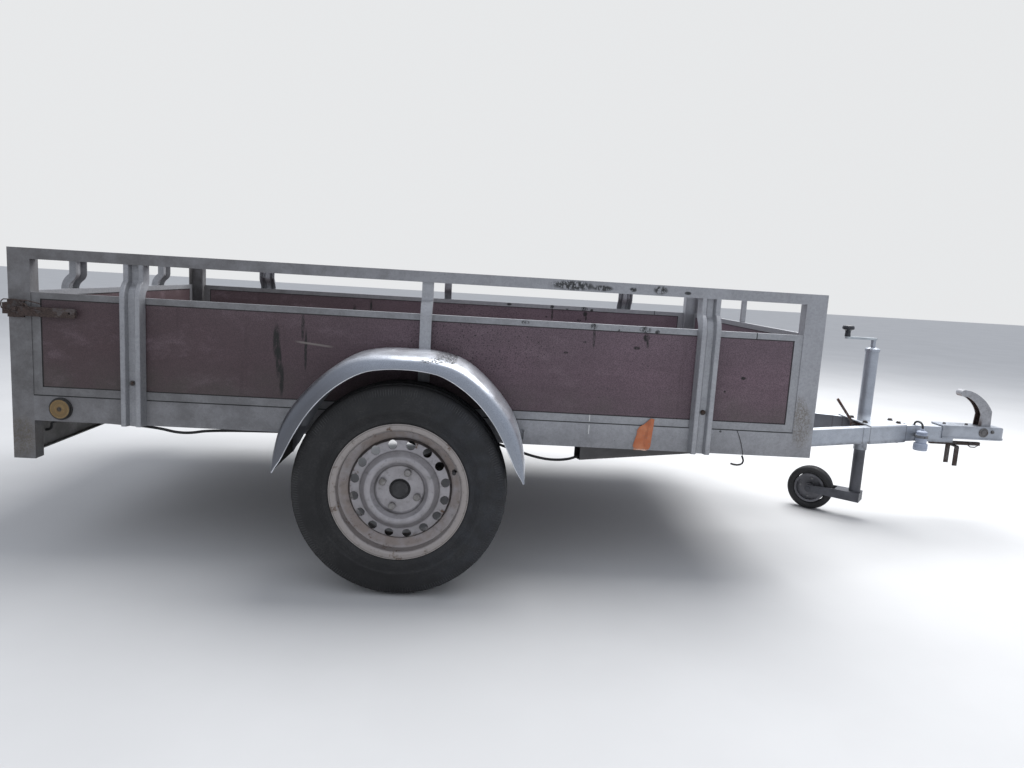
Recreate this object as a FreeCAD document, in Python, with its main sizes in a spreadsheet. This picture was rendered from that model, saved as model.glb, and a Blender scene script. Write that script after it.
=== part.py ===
import FreeCAD, Part
import Sketcher
import math
import os

# Single-axle utility trailer with a drop tailgate: a galvanised frame on a V drawbar, plywood sides held in
# folded channels, top rails on stakes, two 13-inch wheels under round mudguards and a swivelling jockey wheel.
# Frame: +X forward to the coupling, +Y to the trailer's left, +Z up. The origin is on the ground, in the middle
# of the length and width. Lengths are in millimetres, angles in degrees.

SIZES = (
    # name, value, what it measures
    ("box_long", 2300, "load box, rear face of the rear posts to front face of the front posts"),
    ("box_wide", 1320, "load box, over the side faces"),
    ("axle_ahead", 1113, "rear face of the box to the wheel axle"),
    ("box_top", 860, "ground to the top of the rails"),
    ("frame_foot", 379, "ground to the underside of the side rails"),
    ("frame_deck", 451, "ground to the top of the side rails, where the floor and the panels stand"),
    ("panel_top", 740, "ground to the top of the panel channels"),
    ("sheet", 3, "steel of the rails, posts and cross members"),
    ("rail_side", 30, "square tube of the top rails"),
    ("rail_wall", 2, "wall of the top rails"),
    ("post_wide", 60, "corner post along the side"),
    ("post_deep", 40, "corner post across the side"),
    ("post_foot", 268, "ground to the foot of the rear posts"),
    ("sill_deep", 40, "flanges of the side rails"),
    ("sill_lip", 10, "turned-in lips of the side rails"),
    ("cross_wide", 40, "cross member along the trailer"),
    ("cross_foot", 385, "ground to the underside of the cross members"),
    ("ply", 12, "plywood of the panels and floor"),
    ("trim", 2, "steel of the panel channels"),
    ("trim_set", 2, "panel channels behind the outer faces"),
    ("trim_top", 17, "lip of the top channel"),
    ("trim_low", 24, "lip of the bottom channel"),
    ("trim_end", 24, "lip of the end channels"),
    ("floor_gap", 2, "floor to the panel channels"),
    ("stake_wide", 66, "stake across its two ribs"),
    ("stake_deep", 26, "stake's ribs above its edges, and its step inwards"),
    ("stake_step", 52, "height of the stake's S-bend"),
    ("stake_bend", 738, "ground to the start of the S-bend"),
    ("stake_skin", 2.5, "steel of the stakes"),
    ("rib_slope", 6, "run of a rib's outer slope"),
    ("rib_flat", 13, "flat top of a rib"),
    ("valley_deep", 15, "depth of the valley between the ribs"),
    ("valley_half", 8.5, "half of the valley's floor"),
    ("fold_wide", 3, "what a rib's fold takes off each face on its outer side"),
    ("fold_tight", 1.2, "the same on its inner side"),
    ("stake_in", 338, "end of the box to the middle of a side stake"),
    ("mid_wide", 32, "plain middle stake, across"),
    ("mid_deep", 18, "plain middle stake, depth"),
    ("front_mid_wide", 16, "flat stake in the middle of the front wall"),
    ("gate_gap", 5, "tailgate to what is round it"),
    ("gate_stake_off", 325, "middle of the trailer to a tailgate stake"),
    ("hinge_out", 20, "hinge pin behind the box's rear face"),
    ("hinge_drop", 11, "hinge pin below the frame's deck"),
    ("hinge_pin", 5, "radius of the hinge pins"),
    ("hinge_knuckle", 8, "radius of the hinge knuckles"),
    ("hinge_long", 25, "length of one hinge knuckle"),
    ("hinge_off", 520, "middle of the trailer to a hinge"),
    ("hinge_leaf", 4, "steel of the hinge leaves"),
    ("pin_play", 0.08, "running clearance round pins and shafts"),
    ("face_play", 0.4, "running gap between turning faces"),
    ("board_top_in", 30, "lamp board in from the rear face"),
    ("board_foot", 283, "ground to the foot of the lamp board"),
    ("board_gap", 26, "lamp board to the rear posts"),
    ("board_flange", 16, "turned-in foot of the lamp board"),
    ("lamp_long", 200, "rear lamp, along the board"),
    ("lamp_high", 78, "rear lamp, height"),
    ("lamp_deep", 24, "rear lamp, depth"),
    ("tyre_radius", 286, "radius of the tyre"),
    ("tyre_half", 78, "half of the tyre's width"),
    ("tyre_skin", 9, "thickness of the tyre's sides"),
    ("tread_half", 60, "half of the tread's width"),
    ("tread_thick", 14, "thickness at the tread"),
    ("rim_half", 68, "half of the rim's width over its flanges"),
    ("rim_flange", 182.5, "radius of the rim's flanges"),
    ("bead_seat", 165, "radius of the rim's bead seats"),
    ("rim_drop", 141, "radius of the rim's drop centre"),
    ("rim_steel", 3, "steel of the rim and disc"),
    ("rim_out", 232, "side face of the box to the outer face of the rim"),
    ("disc_face", 33, "outer face of the wheel's hub seat, from the wheel's middle plane"),
    ("disc_seat", 62, "radius of the flat hub seat"),
    ("disc_crest", 53, "crest of the disc's ring, from the wheel's middle plane"),
    ("crest_near", 76, "inner radius of the ring's crest"),
    ("crest_far", 92, "outer radius of the ring's crest"),
    ("disc_hip", 106, "radius where the disc's ring ends"),
    ("vent_ring", 122, "radius of the ring of vent holes"),
    ("vent_hole", 12, "radius of a vent hole"),
    ("vents", 16, "number of vent holes"),
    ("hub_bore", 28.5, "radius of the wheel's centre hole"),
    ("bolt_ring", 50, "radius of the ring of wheel bolts"),
    ("bolt_head", 9.5, "radius of a wheel bolt's head"),
    ("wheel_bolts", 4, "number of wheel bolts"),
    ("bolt_turn", 67, "first wheel bolt, from +X round to +Z"),
    ("stub_radius", 15, "radius of the stub axle"),
    ("arm_length_x", 140, "swing arm, axle tube to wheel, along the trailer"),
    ("axle_side", 60, "square axle tube"),
    ("axle_wall", 4, "wall of the axle tube"),
    ("axle_lift", 56, "axle tube's middle above the wheel's"),
    ("swing_thick", 22, "thickness of the swing arm"),
    ("swing_gap", 25, "side face to the swing arm"),
    ("guard_crown", 352, "radius of the mudguard's crown about the wheel"),
    ("guard_lip", 327, "radius of the mudguard's outer lip"),
    ("guard_in", 24, "side face to the mudguard"),
    ("guard_out", 252, "side face to the mudguard's outer lip"),
    ("guard_sheet", 2, "steel of the mudguard"),
    ("guard_round", 22, "radius of the mudguard's shoulder"),
    ("guard_tip", 44, "height of the mudguard's tips above the axle"),
    ("guard_taper", 60, "height of the slanted cut at the tips"),
    ("stay_wide", 34, "mudguard bracket, along the trailer"),
    ("stay_angle", 21, "mudguard bracket above the axle's level"),
    ("stay_high", 28, "height of a mudguard bracket"),
    ("arm_high", 60, "drawbar tube, height"),
    ("arm_wide", 35, "drawbar tube, width"),
    ("arm_wall", 3, "wall of the drawbar tube"),
    ("arm_rear", 510, "wheel axle to the drawbar's rear ends"),
    ("arm_rear_in", 60, "side face to the drawbar's rear ends"),
    ("nose_back", 210, "coupling's nose to the drawbar's nose"),
    ("bend_back", 155, "drawbar's nose to its bend"),
    ("hole_front", 4, "drawbar's bend to the cable's hole in the right-hand tube"),
    ("cable_hole", 8, "radius of the cable's hole"),
    ("plate_thick", 4, "drawbar plates"),
    ("plate_back", 37, "jockey's tube to the rear edge of the drawbar plates"),
    ("plate_ahead", 143, "jockey's tube to the front edge of the drawbar plates"),
    ("nose_out", 1058, "front of the load box to the coupling's nose"),
    ("head_long", 258, "length of the coupling head"),
    ("head_lip", 3, "coupling's lower edge, turned out past its sides"),
    ("head_lip_high", 5, "height of the coupling's lower edge"),
    ("head_round", 28, "radius of the coupling's nose, seen from the side"),
    ("head_foot", 342, "ground to the coupling's lower flange"),
    ("head_top", 392, "ground to the coupling's top"),
    ("head_sheet", 4, "steel of the coupling"),
    ("ball_back", 50, "coupling's nose to the ball's centre"),
    ("ball_height", 354, "ground to the ball's centre"),
    ("socket_radius", 25.2, "radius of the ball socket"),
    ("socket_wall", 5, "wall of the ball socket"),
    ("leg_back", 188, "drawbar's bend to the jockey's tube"),
    ("jockey_outer", 24, "radius of the jockey's outer tube"),
    ("jockey_bore", 21, "bore of the jockey's outer tube"),
    ("jockey_top", 657, "ground to the top of the jockey's outer tube"),
    ("jockey_foot", 275, "ground to the foot of the jockey's outer tube"),
    ("leg_top", 520, "ground to the top of the jockey's leg"),
    ("leg_foot", 106, "ground to the shoulder at the foot of the leg"),
    ("leg_wall", 3, "wall of the jockey's leg"),
    ("swivel_pin", 11, "radius of the swivel pin"),
    ("swivel_foot", 84, "ground to the foot of the swivel pin"),
    ("swivel_nut", 18, "radius of the swivel pin's nut"),
    ("swivel_nut_high", 10, "height of the swivel pin's nut"),
    ("leg_base", 12, "solid foot of the jockey's leg"),
    ("jockey_trail", 165, "swivel axis to the jockey wheel's axis"),
    ("jockey_turn", 142, "way that the jockey wheel points, from +X round to +Y"),
    ("jockey_radius", 87, "radius of the jockey wheel"),
    ("jockey_half", 25, "half of the jockey wheel's width"),
    ("jockey_rim", 58, "radius of the jockey wheel's hub disc"),
    ("fork_thick", 5, "steel of the jockey's fork"),
    ("fork_gap", 5, "fork to the jockey wheel"),
    ("fork_high", 36, "height of the fork at the swivel"),
    ("fork_nose", 14, "radius of the fork's ends round the wheel's axle"),
    ("fork_back", 24, "fork behind the swivel pin"),
    ("fork_pin", 8, "radius of the jockey wheel's axle"),
    ("fork_pin_out", 5, "axle's ends out from the fork"),
    ("crank_rise", 44, "crank above the jockey's outer tube"),
    ("crank_long", 104, "crank's length"),
)


class Size:
    """A length or an angle: its number, and the formula that ties it to the sheet."""

    def __init__(self, number, formula):
        self.number = number
        self.formula = formula

    def __add__(self, other):
        other = as_size(other)
        return Size(self.number + other.number, f"({self.formula} + {other.formula})")

    def __radd__(self, other):
        return as_size(other) + self

    def __sub__(self, other):
        other = as_size(other)
        return Size(self.number - other.number, f"({self.formula} - {other.formula})")

    def __rsub__(self, other):
        return as_size(other) - self

    def __mul__(self, other):
        other = as_size(other)
        return Size(self.number * other.number, f"({self.formula} * {other.formula})")

    def __rmul__(self, other):
        return as_size(other) * self

    def __truediv__(self, other):
        other = as_size(other)
        return Size(self.number / other.number, f"({self.formula} / {other.formula})")

    def __neg__(self):
        return Size(-self.number, f"(0 - {self.formula})")


def as_size(value):
    if isinstance(value, Size):
        return value
    return Size(float(value), f"({float(value)!r})")


def root(size):
    return Size(math.sqrt(size.number), f"sqrt({size.formula})")


def sine(angle):
    return Size(math.sin(math.radians(angle.number)), f"sin({angle.formula})")


def cosine(angle):
    return Size(math.cos(math.radians(angle.number)), f"cos({angle.formula})")


# The document and its sheet of driving sizes
doc = FreeCAD.newDocument("Trailer")
sheet = doc.addObject("Spreadsheet::Sheet", "Sizes")
size = {}
for row, (name, number, meaning) in enumerate(SIZES, start=1):
    sheet.set(f"A{row}", name)
    sheet.set(f"B{row}", str(number))
    sheet.set(f"C{row}", meaning)
    sheet.setAlias(f"B{row}", name)
    size[name] = Size(float(number), f"Sizes.{name}")
doc.recompute()

nodes = {}


def bind(target, path, value):
    """Ties one property of an object to the sheet."""
    value = as_size(value)
    target.setExpression(path, value.formula)


def arc_between(first, last, radius):
    """Arc from first to last, turning left when the radius is positive and right when it is negative."""
    across = (last[0] - first[0], last[1] - first[1])
    chord = math.hypot(*across)
    rise = math.sqrt(max(radius * radius - chord * chord / 4, 0))
    side = 1 if radius > 0 else -1
    centre = (
        (first[0] + last[0]) / 2 - side * across[1] / chord * rise,
        (first[1] + last[1]) / 2 + side * across[0] / chord * rise,
    )
    circle = Part.Circle(FreeCAD.Vector(*centre, 0), FreeCAD.Vector(0, 0, 1), abs(radius))
    start, end = (first, last) if radius > 0 else (last, first)
    turn = [math.atan2(point[1] - centre[1], point[0] - centre[0]) for point in (start, end)]
    if turn[1] <= turn[0]:
        turn[1] += 2 * math.pi
    return Part.ArcOfCircle(circle, *turn)


def with_half_turns_split(corners):
    """The same corners, with one more at the middle of each arc that makes a whole half turn."""
    result = []
    for index, corner in enumerate(corners):
        result.append(corner)
        after = corners[(index + 1) % len(corners)]
        run = (after[0] - corner[0], after[1] - corner[1])
        half_chord = math.hypot(run[0].number, run[1].number) / 2
        if len(corner) == 3 and abs(half_chord - abs(corner[2].number)) < 1e-6:
            way = 1 if corner[2].number > 0 else -1
            result.append([
                (corner[0] + after[0]) / 2 + way * run[1] / 2,
                (corner[1] + after[1]) / 2 - way * run[0] / 2,
                corner[2],
            ])
    return result


def draw(sketch, corners, closed=True):
    """Draws an outline through its corners, each held to the sheet across and up.

    A corner is (across, up), or (across, up, radius) where an arc leads on to the next corner, turning left
    when the radius is positive and right when it is negative.
    """
    corners = with_half_turns_split([[as_size(value) for value in corner] for corner in corners])
    places = [(corner[0].number, corner[1].number) for corner in corners]
    count = len(corners) if closed else len(corners) - 1
    ends = []
    limits = []
    bound = []
    for index in range(count):
        first = places[index]
        last = places[(index + 1) % len(places)]
        if len(corners[index]) == 3:
            radius = corners[index][2]
            edge = sketch.addGeometry(arc_between(first, last, radius.number), False)
            ends.append((edge, 1, 2) if radius.number > 0 else (edge, 2, 1))
            limits.append(Sketcher.Constraint("Radius", edge, abs(radius.number)))
            bound.append(radius if radius.number > 0 else -radius)
        else:
            line = Part.LineSegment(FreeCAD.Vector(*first, 0), FreeCAD.Vector(*last, 0))
            edge = sketch.addGeometry(line, False)
            ends.append((edge, 1, 2))
    held = [(edge, start) for edge, start, _ in ends]
    if not closed:
        held.append((ends[-1][0], ends[-1][2]))
    for (edge, point), corner in zip(held, corners):
        limits.append(Sketcher.Constraint("DistanceX", -1, 1, edge, point, corner[0].number))
        bound.append(corner[0])
        limits.append(Sketcher.Constraint("DistanceY", -1, 1, edge, point, corner[1].number))
        bound.append(corner[1])
    first_limit = sketch.ConstraintCount
    sketch.addConstraint(limits)
    for offset, value in enumerate(bound):
        sketch.setExpression(f"Constraints[{first_limit + offset}]", value.formula)
    joints = []
    for index in range(count if closed else count - 1):
        this_edge, _, this_end = ends[index]
        next_edge, next_start, _ = ends[(index + 1) % count]
        joints.append(Sketcher.Constraint("Coincident", this_edge, this_end, next_edge, next_start))
    sketch.addConstraint(joints)


def ring(sketch, across, up, radius):
    """Draws a circle held to the sheet."""
    across, up, radius = as_size(across), as_size(up), as_size(radius)
    centre = FreeCAD.Vector(across.number, up.number, 0)
    edge = sketch.addGeometry(Part.Circle(centre, FreeCAD.Vector(0, 0, 1), radius.number), False)
    first_limit = sketch.ConstraintCount
    sketch.addConstraint([
        Sketcher.Constraint("DistanceX", -1, 1, edge, 3, across.number),
        Sketcher.Constraint("DistanceY", -1, 1, edge, 3, up.number),
        Sketcher.Constraint("Radius", edge, radius.number),
    ])
    for offset, value in enumerate((across, up, radius)):
        sketch.setExpression(f"Constraints[{first_limit + offset}]", value.formula)


def new_body(label):
    body = doc.addObject("PartDesign::Body", "Body")
    body.Label = label
    return body


def new_sketch(body, plane, outlines=(), rings=(), closed=True):
    """A sketch on one of the body's own planes: closed outlines, and circles given as (across, up, radius)."""
    sketch = body.newObject("Sketcher::SketchObject", "Sketch")
    flat = next(item for item in body.Origin.OriginFeatures if item.Role == plane)
    sketch.AttachmentSupport = [(flat, "")]
    sketch.MapMode = "FlatFace"
    for corners in outlines:
        draw(sketch, corners, closed)
    for circle in rings:
        ring(sketch, *circle)
    return sketch


def add_pad(body, sketch, length, centred=False, backwards=False):
    feature = body.newObject("PartDesign::Pad", "Pad")
    feature.Profile = sketch
    feature.Midplane = centred
    feature.Reversed = backwards
    bind(feature, "Length", length)
    body.Tip = feature
    return feature


def add_pocket(body, sketch, length=None):
    """A cut to both sides of the sketch: as deep as length in all, or right through."""
    feature = body.newObject("PartDesign::Pocket", "Pocket")
    feature.Profile = sketch
    feature.Midplane = True
    if length is None:
        feature.Type = "ThroughAll"
    else:
        bind(feature, "Length", length)
    body.Tip = feature
    return feature


def add_turn(body, sketch, angle=360, axis="V_Axis", backwards=False):
    feature = body.newObject("PartDesign::Revolution", "Revolution")
    feature.Profile = sketch
    feature.ReferenceAxis = (sketch, [axis])
    feature.Reversed = backwards
    feature.Angle = angle
    body.Tip = feature
    return feature


def place(thing, across=0, along=0, up=0):
    """Moves a piece to (x, y, z), tied to the sheet."""
    for axis, value in zip("xyz", (across, along, up)):
        if not (isinstance(value, (int, float)) and value == 0):
            bind(thing, f"Placement.Base.{axis}", value)
    return thing


def along_x(label, outlines, start, length, rings=()):
    """A section drawn across the trailer in (y, z), run forward from start."""
    body = new_body(label)
    add_pad(body, new_sketch(body, "YZ_Plane", outlines, rings), length)
    return place(body, across=start)


def upright(label, outlines, start, length, rings=()):
    """A plan drawn in (x, y), run upwards from start."""
    body = new_body(label)
    add_pad(body, new_sketch(body, "XY_Plane", outlines, rings), length)
    return place(body, up=start)


def across_y(label, outlines, middle, width, rings=()):
    """A side view drawn in (x, z), run to both sides of its middle plane."""
    body = new_body(label)
    add_pad(body, new_sketch(body, "XZ_Plane", outlines, rings), width, centred=True)
    return place(body, along=middle)


def mirrored(label, source):
    """The same piece for the trailer's other side."""
    other = doc.addObject("Part::Mirroring", "Mirror")
    other.Source = source
    other.Normal = FreeCAD.Vector(0, 1, 0)
    other.Label = label
    return other


def together(label, pieces):
    """Like pieces that don't touch, kept as separate solids of one node."""
    group = doc.addObject("Part::Compound", "Group")
    group.Links = pieces
    group.Label = label
    return group


def both_sides(label, pieces):
    """One node of pieces drawn on one side of the trailer and their twins on the other."""
    return keep(together(label, pieces + [mirrored(f"{piece.Label}_twin", piece) for piece in pieces]))


def fused(label, pieces):
    union = doc.addObject("Part::MultiFuse", "Union")
    union.Shapes = pieces
    union.Refine = True
    union.Label = label
    return union


def keep(thing):
    nodes[thing.Label] = thing
    return thing


def box(x_low, x_high, y_low, y_high):
    """Corners of a rectangle, anticlockwise."""
    return [(x_low, y_low), (x_high, y_low), (x_high, y_high), (x_low, y_high)]


# Places that many pieces share
gate_proud = size["hinge_out"] + size["hinge_knuckle"]
reach_nose = size["box_long"] - size["axle_ahead"] + size["nose_out"]
datum = (reach_nose - size["axle_ahead"] - gate_proud) / 2
side = size["box_wide"] / 2
rear = -size["axle_ahead"] - datum
front = rear + size["box_long"]
middle = (rear + front) / 2
axle_x = -datum
axle_z = size["tyre_radius"]
rail_low = size["box_top"] - size["rail_side"]
rear_inner = rear + size["post_wide"]
front_inner = front - size["post_wide"]
side_inner = side - size["post_deep"]


def channel(outer, depth, low, high, sheet_steel, lip, inwards):
    """A lipped C, its web standing at outer and its flanges running inwards (1 or -1) by depth."""
    back = outer + inwards * sheet_steel
    tip = outer + inwards * depth
    turn = outer + inwards * (depth - sheet_steel)
    return [
        (outer, low),
        (tip, low),
        (tip, low + lip),
        (turn, low + lip),
        (turn, low + sheet_steel),
        (back, low + sheet_steel),
        (back, high - sheet_steel),
        (turn, high - sheet_steel),
        (turn, high - lip),
        (tip, high - lip),
        (tip, high),
        (outer, high),
    ]


def plain_channel(outer, depth, low, high, sheet_steel, inwards):
    """A plain C, its web standing at outer and its flanges running inwards (1 or -1) by depth."""
    back = outer + inwards * sheet_steel
    tip = outer + inwards * depth
    return [
        (outer, low),
        (tip, low),
        (tip, low + sheet_steel),
        (back, low + sheet_steel),
        (back, high - sheet_steel),
        (tip, high - sheet_steel),
        (tip, high),
        (outer, high),
    ]


# Side rails: folded lipped channels between the corner posts, open to the middle
both_sides("side_rails", [along_x(
    "side_rail",
    [channel(-side, size["sill_deep"], size["frame_foot"], size["frame_deck"], size["sheet"], size["sill_lip"], 1)],
    rear_inner,
    front_inner - rear_inner,
)])

# Cross members: folded channels across the frame, on the drawbar and under the floor
CROSS_PLACES = (
    # share of the clear length, way that the channel opens, whether it stands between the corner posts
    (0.0, 1),
    (0.25, 1),
    (0.5, 1),
    (0.75, 1),
    (1.0, -1),
)
cross_span = size["box_long"] - 2 * size["sheet"]
members = []
for share, opens in CROSS_PLACES:
    web = rear + size["sheet"] + share * cross_span
    reach = side_inner if share in (0.0, 1.0) else side - size["sill_deep"]
    outline = plain_channel(
        web, size["cross_wide"], size["cross_foot"], size["frame_deck"], size["sheet"], opens,
    )
    members.append(across_y("cross_member", [outline], 0, 2 * reach))
keep(together("cross_members", members))

# Corner posts: folded channels, the rear pair running down past the frame to carry the lamp board
def post_plan(web_x, way):
    """Plan of a right-hand post: web in the side face, flanges running inwards."""
    far_x = web_x + way * size["post_wide"]
    return [
        (web_x, -side),
        (far_x, -side),
        (far_x, -side_inner),
        (far_x - way * size["sheet"], -side_inner),
        (far_x - way * size["sheet"], -side + size["sheet"]),
        (web_x + way * size["sheet"], -side + size["sheet"]),
        (web_x + way * size["sheet"], -side_inner),
        (web_x, -side_inner),
    ]


right_posts = []
for web_x, way, foot in ((rear, 1, size["post_foot"]), (front, -1, size["frame_foot"])):
    right_posts.append(upright("corner_post", [post_plan(web_x, way)], foot, size["box_top"] - foot))
both_sides("corner_posts", right_posts)


def tube_loops(low_a, low_b, side_a, side_b, wall):
    return [
        box(low_a, low_a + side_a, low_b, low_b + side_b),
        box(low_a + wall, low_a + side_a - wall, low_b + wall, low_b + side_b - wall),
    ]


# Top rails: square tube between the posts, along both sides and across the front
side_rail = along_x(
    "top_rail",
    tube_loops(-side, rail_low, size["rail_side"], size["rail_side"], size["rail_wall"]),
    rear_inner,
    front_inner - rear_inner,
)
front_rail = across_y(
    "front_rail",
    tube_loops(front - size["rail_side"], rail_low, size["rail_side"], size["rail_side"], size["rail_wall"]),
    0,
    2 * side_inner,
)
keep(together("top_rails", [side_rail, mirrored("top_rail_twin", side_rail), front_rail]))

# Panel channels: folded round the plywood on all four edges
trim_deep = size["ply"] + 2 * size["trim"]


def framed_panel(name, low, high, foot, top, face, width_axis):
    """A plywood panel and the channel round it, low to high along width_axis, its outer face at face."""
    plane = "XZ_Plane" if width_axis == "x" else "YZ_Plane"
    window = box(low + size["trim_end"], high - size["trim_end"], foot + size["trim_low"], top - size["trim_top"])
    inset = size["trim"]
    groove = box(low + inset, high - inset, foot + inset, top - inset)
    frame = new_body(f"{name}_frame")
    add_pad(frame, new_sketch(frame, plane, [box(low, high, foot, top), window]), trim_deep, centred=True)
    add_pocket(frame, new_sketch(frame, plane, [groove]), size["ply"])
    board = new_body(f"{name}_panel")
    add_pad(board, new_sketch(board, plane, [groove]), size["ply"], centred=True)
    for piece in (frame, board):
        if width_axis == "x":
            place(piece, along=face)
        else:
            place(piece, across=face)
    return frame, board


panel_face = -side + size["trim_set"] + trim_deep / 2
right_frame, right_panel = framed_panel(
    "side_right", rear_inner, front_inner, size["frame_deck"], size["panel_top"], panel_face, "x",
)
front_frame, front_panel = framed_panel(
    "front", -side_inner, side_inner, size["frame_deck"], size["panel_top"],
    front - size["trim_set"] - trim_deep / 2, "y",
)
keep(together("panel_channels", [right_frame, mirrored("side_left_frame", right_frame), front_frame]))
keep(together("panels", [right_panel, mirrored("side_left_panel", right_panel), front_panel]))

# Floor: one plywood sheet on the side rails and cross members
floor_side = side - size["trim_set"] - trim_deep - size["floor_gap"]
floor_front = front - size["trim_set"] - trim_deep - size["floor_gap"]
floor_rear = rear + size["trim_set"] + trim_deep + size["gate_gap"]
notch_x = size["post_wide"] + size["floor_gap"]
notch_y = side_inner - size["floor_gap"]
floor_plan = [
    (floor_rear, -notch_y),
    (rear + notch_x, -notch_y),
    (rear + notch_x, -floor_side),
    (front - notch_x, -floor_side),
    (front - notch_x, -notch_y),
    (floor_front, -notch_y),
    (floor_front, notch_y),
    (front - notch_x, notch_y),
    (front - notch_x, floor_side),
    (rear + notch_x, floor_side),
    (rear + notch_x, notch_y),
    (floor_rear, notch_y),
]
keep(upright("floor", [floor_plan], size["frame_deck"], size["ply"]))

# Stakes: one pressed sheet with two ribs and a valley, bent in an S so that its top stands under the rail
step_radius = (
    (size["stake_deep"] * size["stake_deep"] + size["stake_step"] * size["stake_step"])
    / (4 * size["stake_deep"])
)


def retraced(corners, mirror=False):
    """The same run of corners in the opposite order, mirrored to the other side where asked."""
    way = -1 if mirror else 1
    result = []
    for index in range(len(corners) - 1, -1, -1):
        across, up = corners[index][:2]
        bends = corners[index - 1][2:] if index else ()
        result.append((way * across, up, *[-way * bend for bend in bends]))
    return result


def rib(inset, crest_cut, floor_cut):
    """Half of a stake's section from the valley's floor to its edge: across, and out from its edges (negative).

    The cuts are what each round fold takes off the faces beside it.
    """
    deep = size["stake_deep"] - inset
    half = size["stake_wide"] / 2 - inset
    slope = size["rib_slope"]
    hip = half - slope
    crest = size["stake_wide"] / 2 - slope - size["rib_flat"] + inset / 2
    floor_half = size["valley_half"] + inset / 2
    floor_out = deep - size["valley_deep"]
    wall_run = crest - floor_half
    wall = root(wall_run * wall_run + size["valley_deep"] * size["valley_deep"])
    edge = root(slope * slope + deep * deep)
    wall_x = wall_run / wall
    wall_y = size["valley_deep"] / wall
    edge_x = slope / edge
    edge_y = deep / edge
    wall_bend = (1 + wall_x) / wall_y
    edge_bend = (1 + edge_x) / edge_y
    return [
        (floor_half - floor_cut, -floor_out, -floor_cut * wall_bend),
        (floor_half + floor_cut * wall_x, -floor_out - floor_cut * wall_y),
        (crest - crest_cut * wall_x, crest_cut * wall_y - deep, crest_cut * wall_bend),
        (crest + crest_cut, -deep),
        (hip - crest_cut, -deep, crest_cut * edge_bend),
        (hip + crest_cut * edge_x, crest_cut * edge_y - deep),
        (half, as_size(0)),
    ]


def stake_section():
    """Section of a ribbed stake: two ribs with round folds and a flat valley between them."""
    outer = rib(as_size(0), size["fold_wide"], size["fold_tight"])
    inner = rib(size["stake_skin"], size["fold_tight"], size["fold_wide"])
    return retraced(outer, True) + outer + retraced(retraced(inner, True) + inner)


def ribbed_stake(foot, edge_plane):
    """A stake on the right-hand side, standing on foot, with its lower edges in the plane y = edge_plane."""
    body = new_body("stake")
    bend = size["stake_bend"] - foot
    top = rail_low - foot
    deep = size["stake_deep"]
    profile = new_sketch(body, "XY_Plane", [stake_section()])
    path = new_sketch(
        body,
        "YZ_Plane",
        [[
            (0, 0),
            (0, bend, -step_radius),
            (deep / 2, bend + size["stake_step"] / 2, step_radius),
            (deep, bend + size["stake_step"]),
            (deep, top),
        ]],
        closed=False,
    )
    pipe = body.newObject("PartDesign::AdditivePipe", "Pipe")
    pipe.Profile = profile
    pipe.Spine = (path, [])
    pipe.Mode = "Standard"
    pipe.Transition = "Transformed"
    body.Tip = pipe
    return place(body, along=edge_plane, up=foot)


right_stakes = []
for centre in (rear + size["stake_in"], front - size["stake_in"]):
    right_stakes.append(place(ribbed_stake(size["frame_foot"], -side), across=centre))

# The plain middle stake ends on the panel channel, behind the mudguard
mid_low = size["frame_foot"]
middle_stake = new_body("middle_stake")
middle_profile = new_sketch(
    middle_stake,
    "XY_Plane",
    [plain_channel(
        -size["mid_deep"], size["mid_deep"], -size["mid_wide"] / 2, size["mid_wide"] / 2, size["stake_skin"], 1,
    )],
)
middle_path = new_sketch(
    middle_stake, "XZ_Plane",
    [[(0, 0), (0, size["stake_bend"] - mid_low, -step_radius),
      (size["stake_deep"] / 2, size["stake_bend"] - mid_low + size["stake_step"] / 2, step_radius),
      (size["stake_deep"], size["stake_bend"] - mid_low + size["stake_step"]),
      (size["stake_deep"], rail_low - mid_low)]],
    closed=False,
)
middle_pipe = middle_stake.newObject("PartDesign::AdditivePipe", "Pipe")
middle_pipe.Profile = middle_profile
middle_pipe.Spine = (middle_path, [])
middle_pipe.Mode = "Standard"
middle_stake.Tip = middle_pipe
middle_stake.Placement = FreeCAD.Placement(FreeCAD.Vector(), FreeCAD.Rotation(FreeCAD.Vector(0, 0, 1), 90))
place(middle_stake, middle, -side, mid_low)
right_stakes.append(middle_stake)
left_stakes = [mirrored("stake_twin", stake) for stake in right_stakes]

# One flat bar stands on the front wall's top channel, in the middle, under the front rail
front_stake = upright(
    "front_stake",
    [box(
        front - size["trim_set"] - trim_deep, front - size["trim_set"],
        -size["front_mid_wide"] / 2, size["front_mid_wide"] / 2,
    )],
    size["panel_top"],
    rail_low - size["panel_top"],
)
keep(together("stakes", right_stakes + left_stakes + [front_stake]))

# Tailgate: a framed panel between the rear posts, with its own stakes and rail, hinged at its foot
gate_side = side_inner - size["gate_gap"]
gate_foot = size["frame_deck"] + size["gate_gap"]
for piece in framed_panel(
    "tailgate", -gate_side, gate_side, gate_foot, size["panel_top"], rear + trim_deep / 2, "y",
):
    keep(piece)
keep(across_y(
    "tailgate_rail",
    tube_loops(rear, rail_low, size["rail_side"], size["rail_side"], size["rail_wall"]),
    0,
    2 * gate_side,
))
gate_stakes = []
for offset in (-size["gate_stake_off"], size["gate_stake_off"]):
    stake = ribbed_stake(gate_foot, 0)
    stake.Placement = FreeCAD.Placement(FreeCAD.Vector(), FreeCAD.Rotation(FreeCAD.Vector(0, 0, 1), -90))
    gate_stakes.append(place(stake, rear, offset, gate_foot))
keep(together("tailgate_stakes", gate_stakes))

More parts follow.
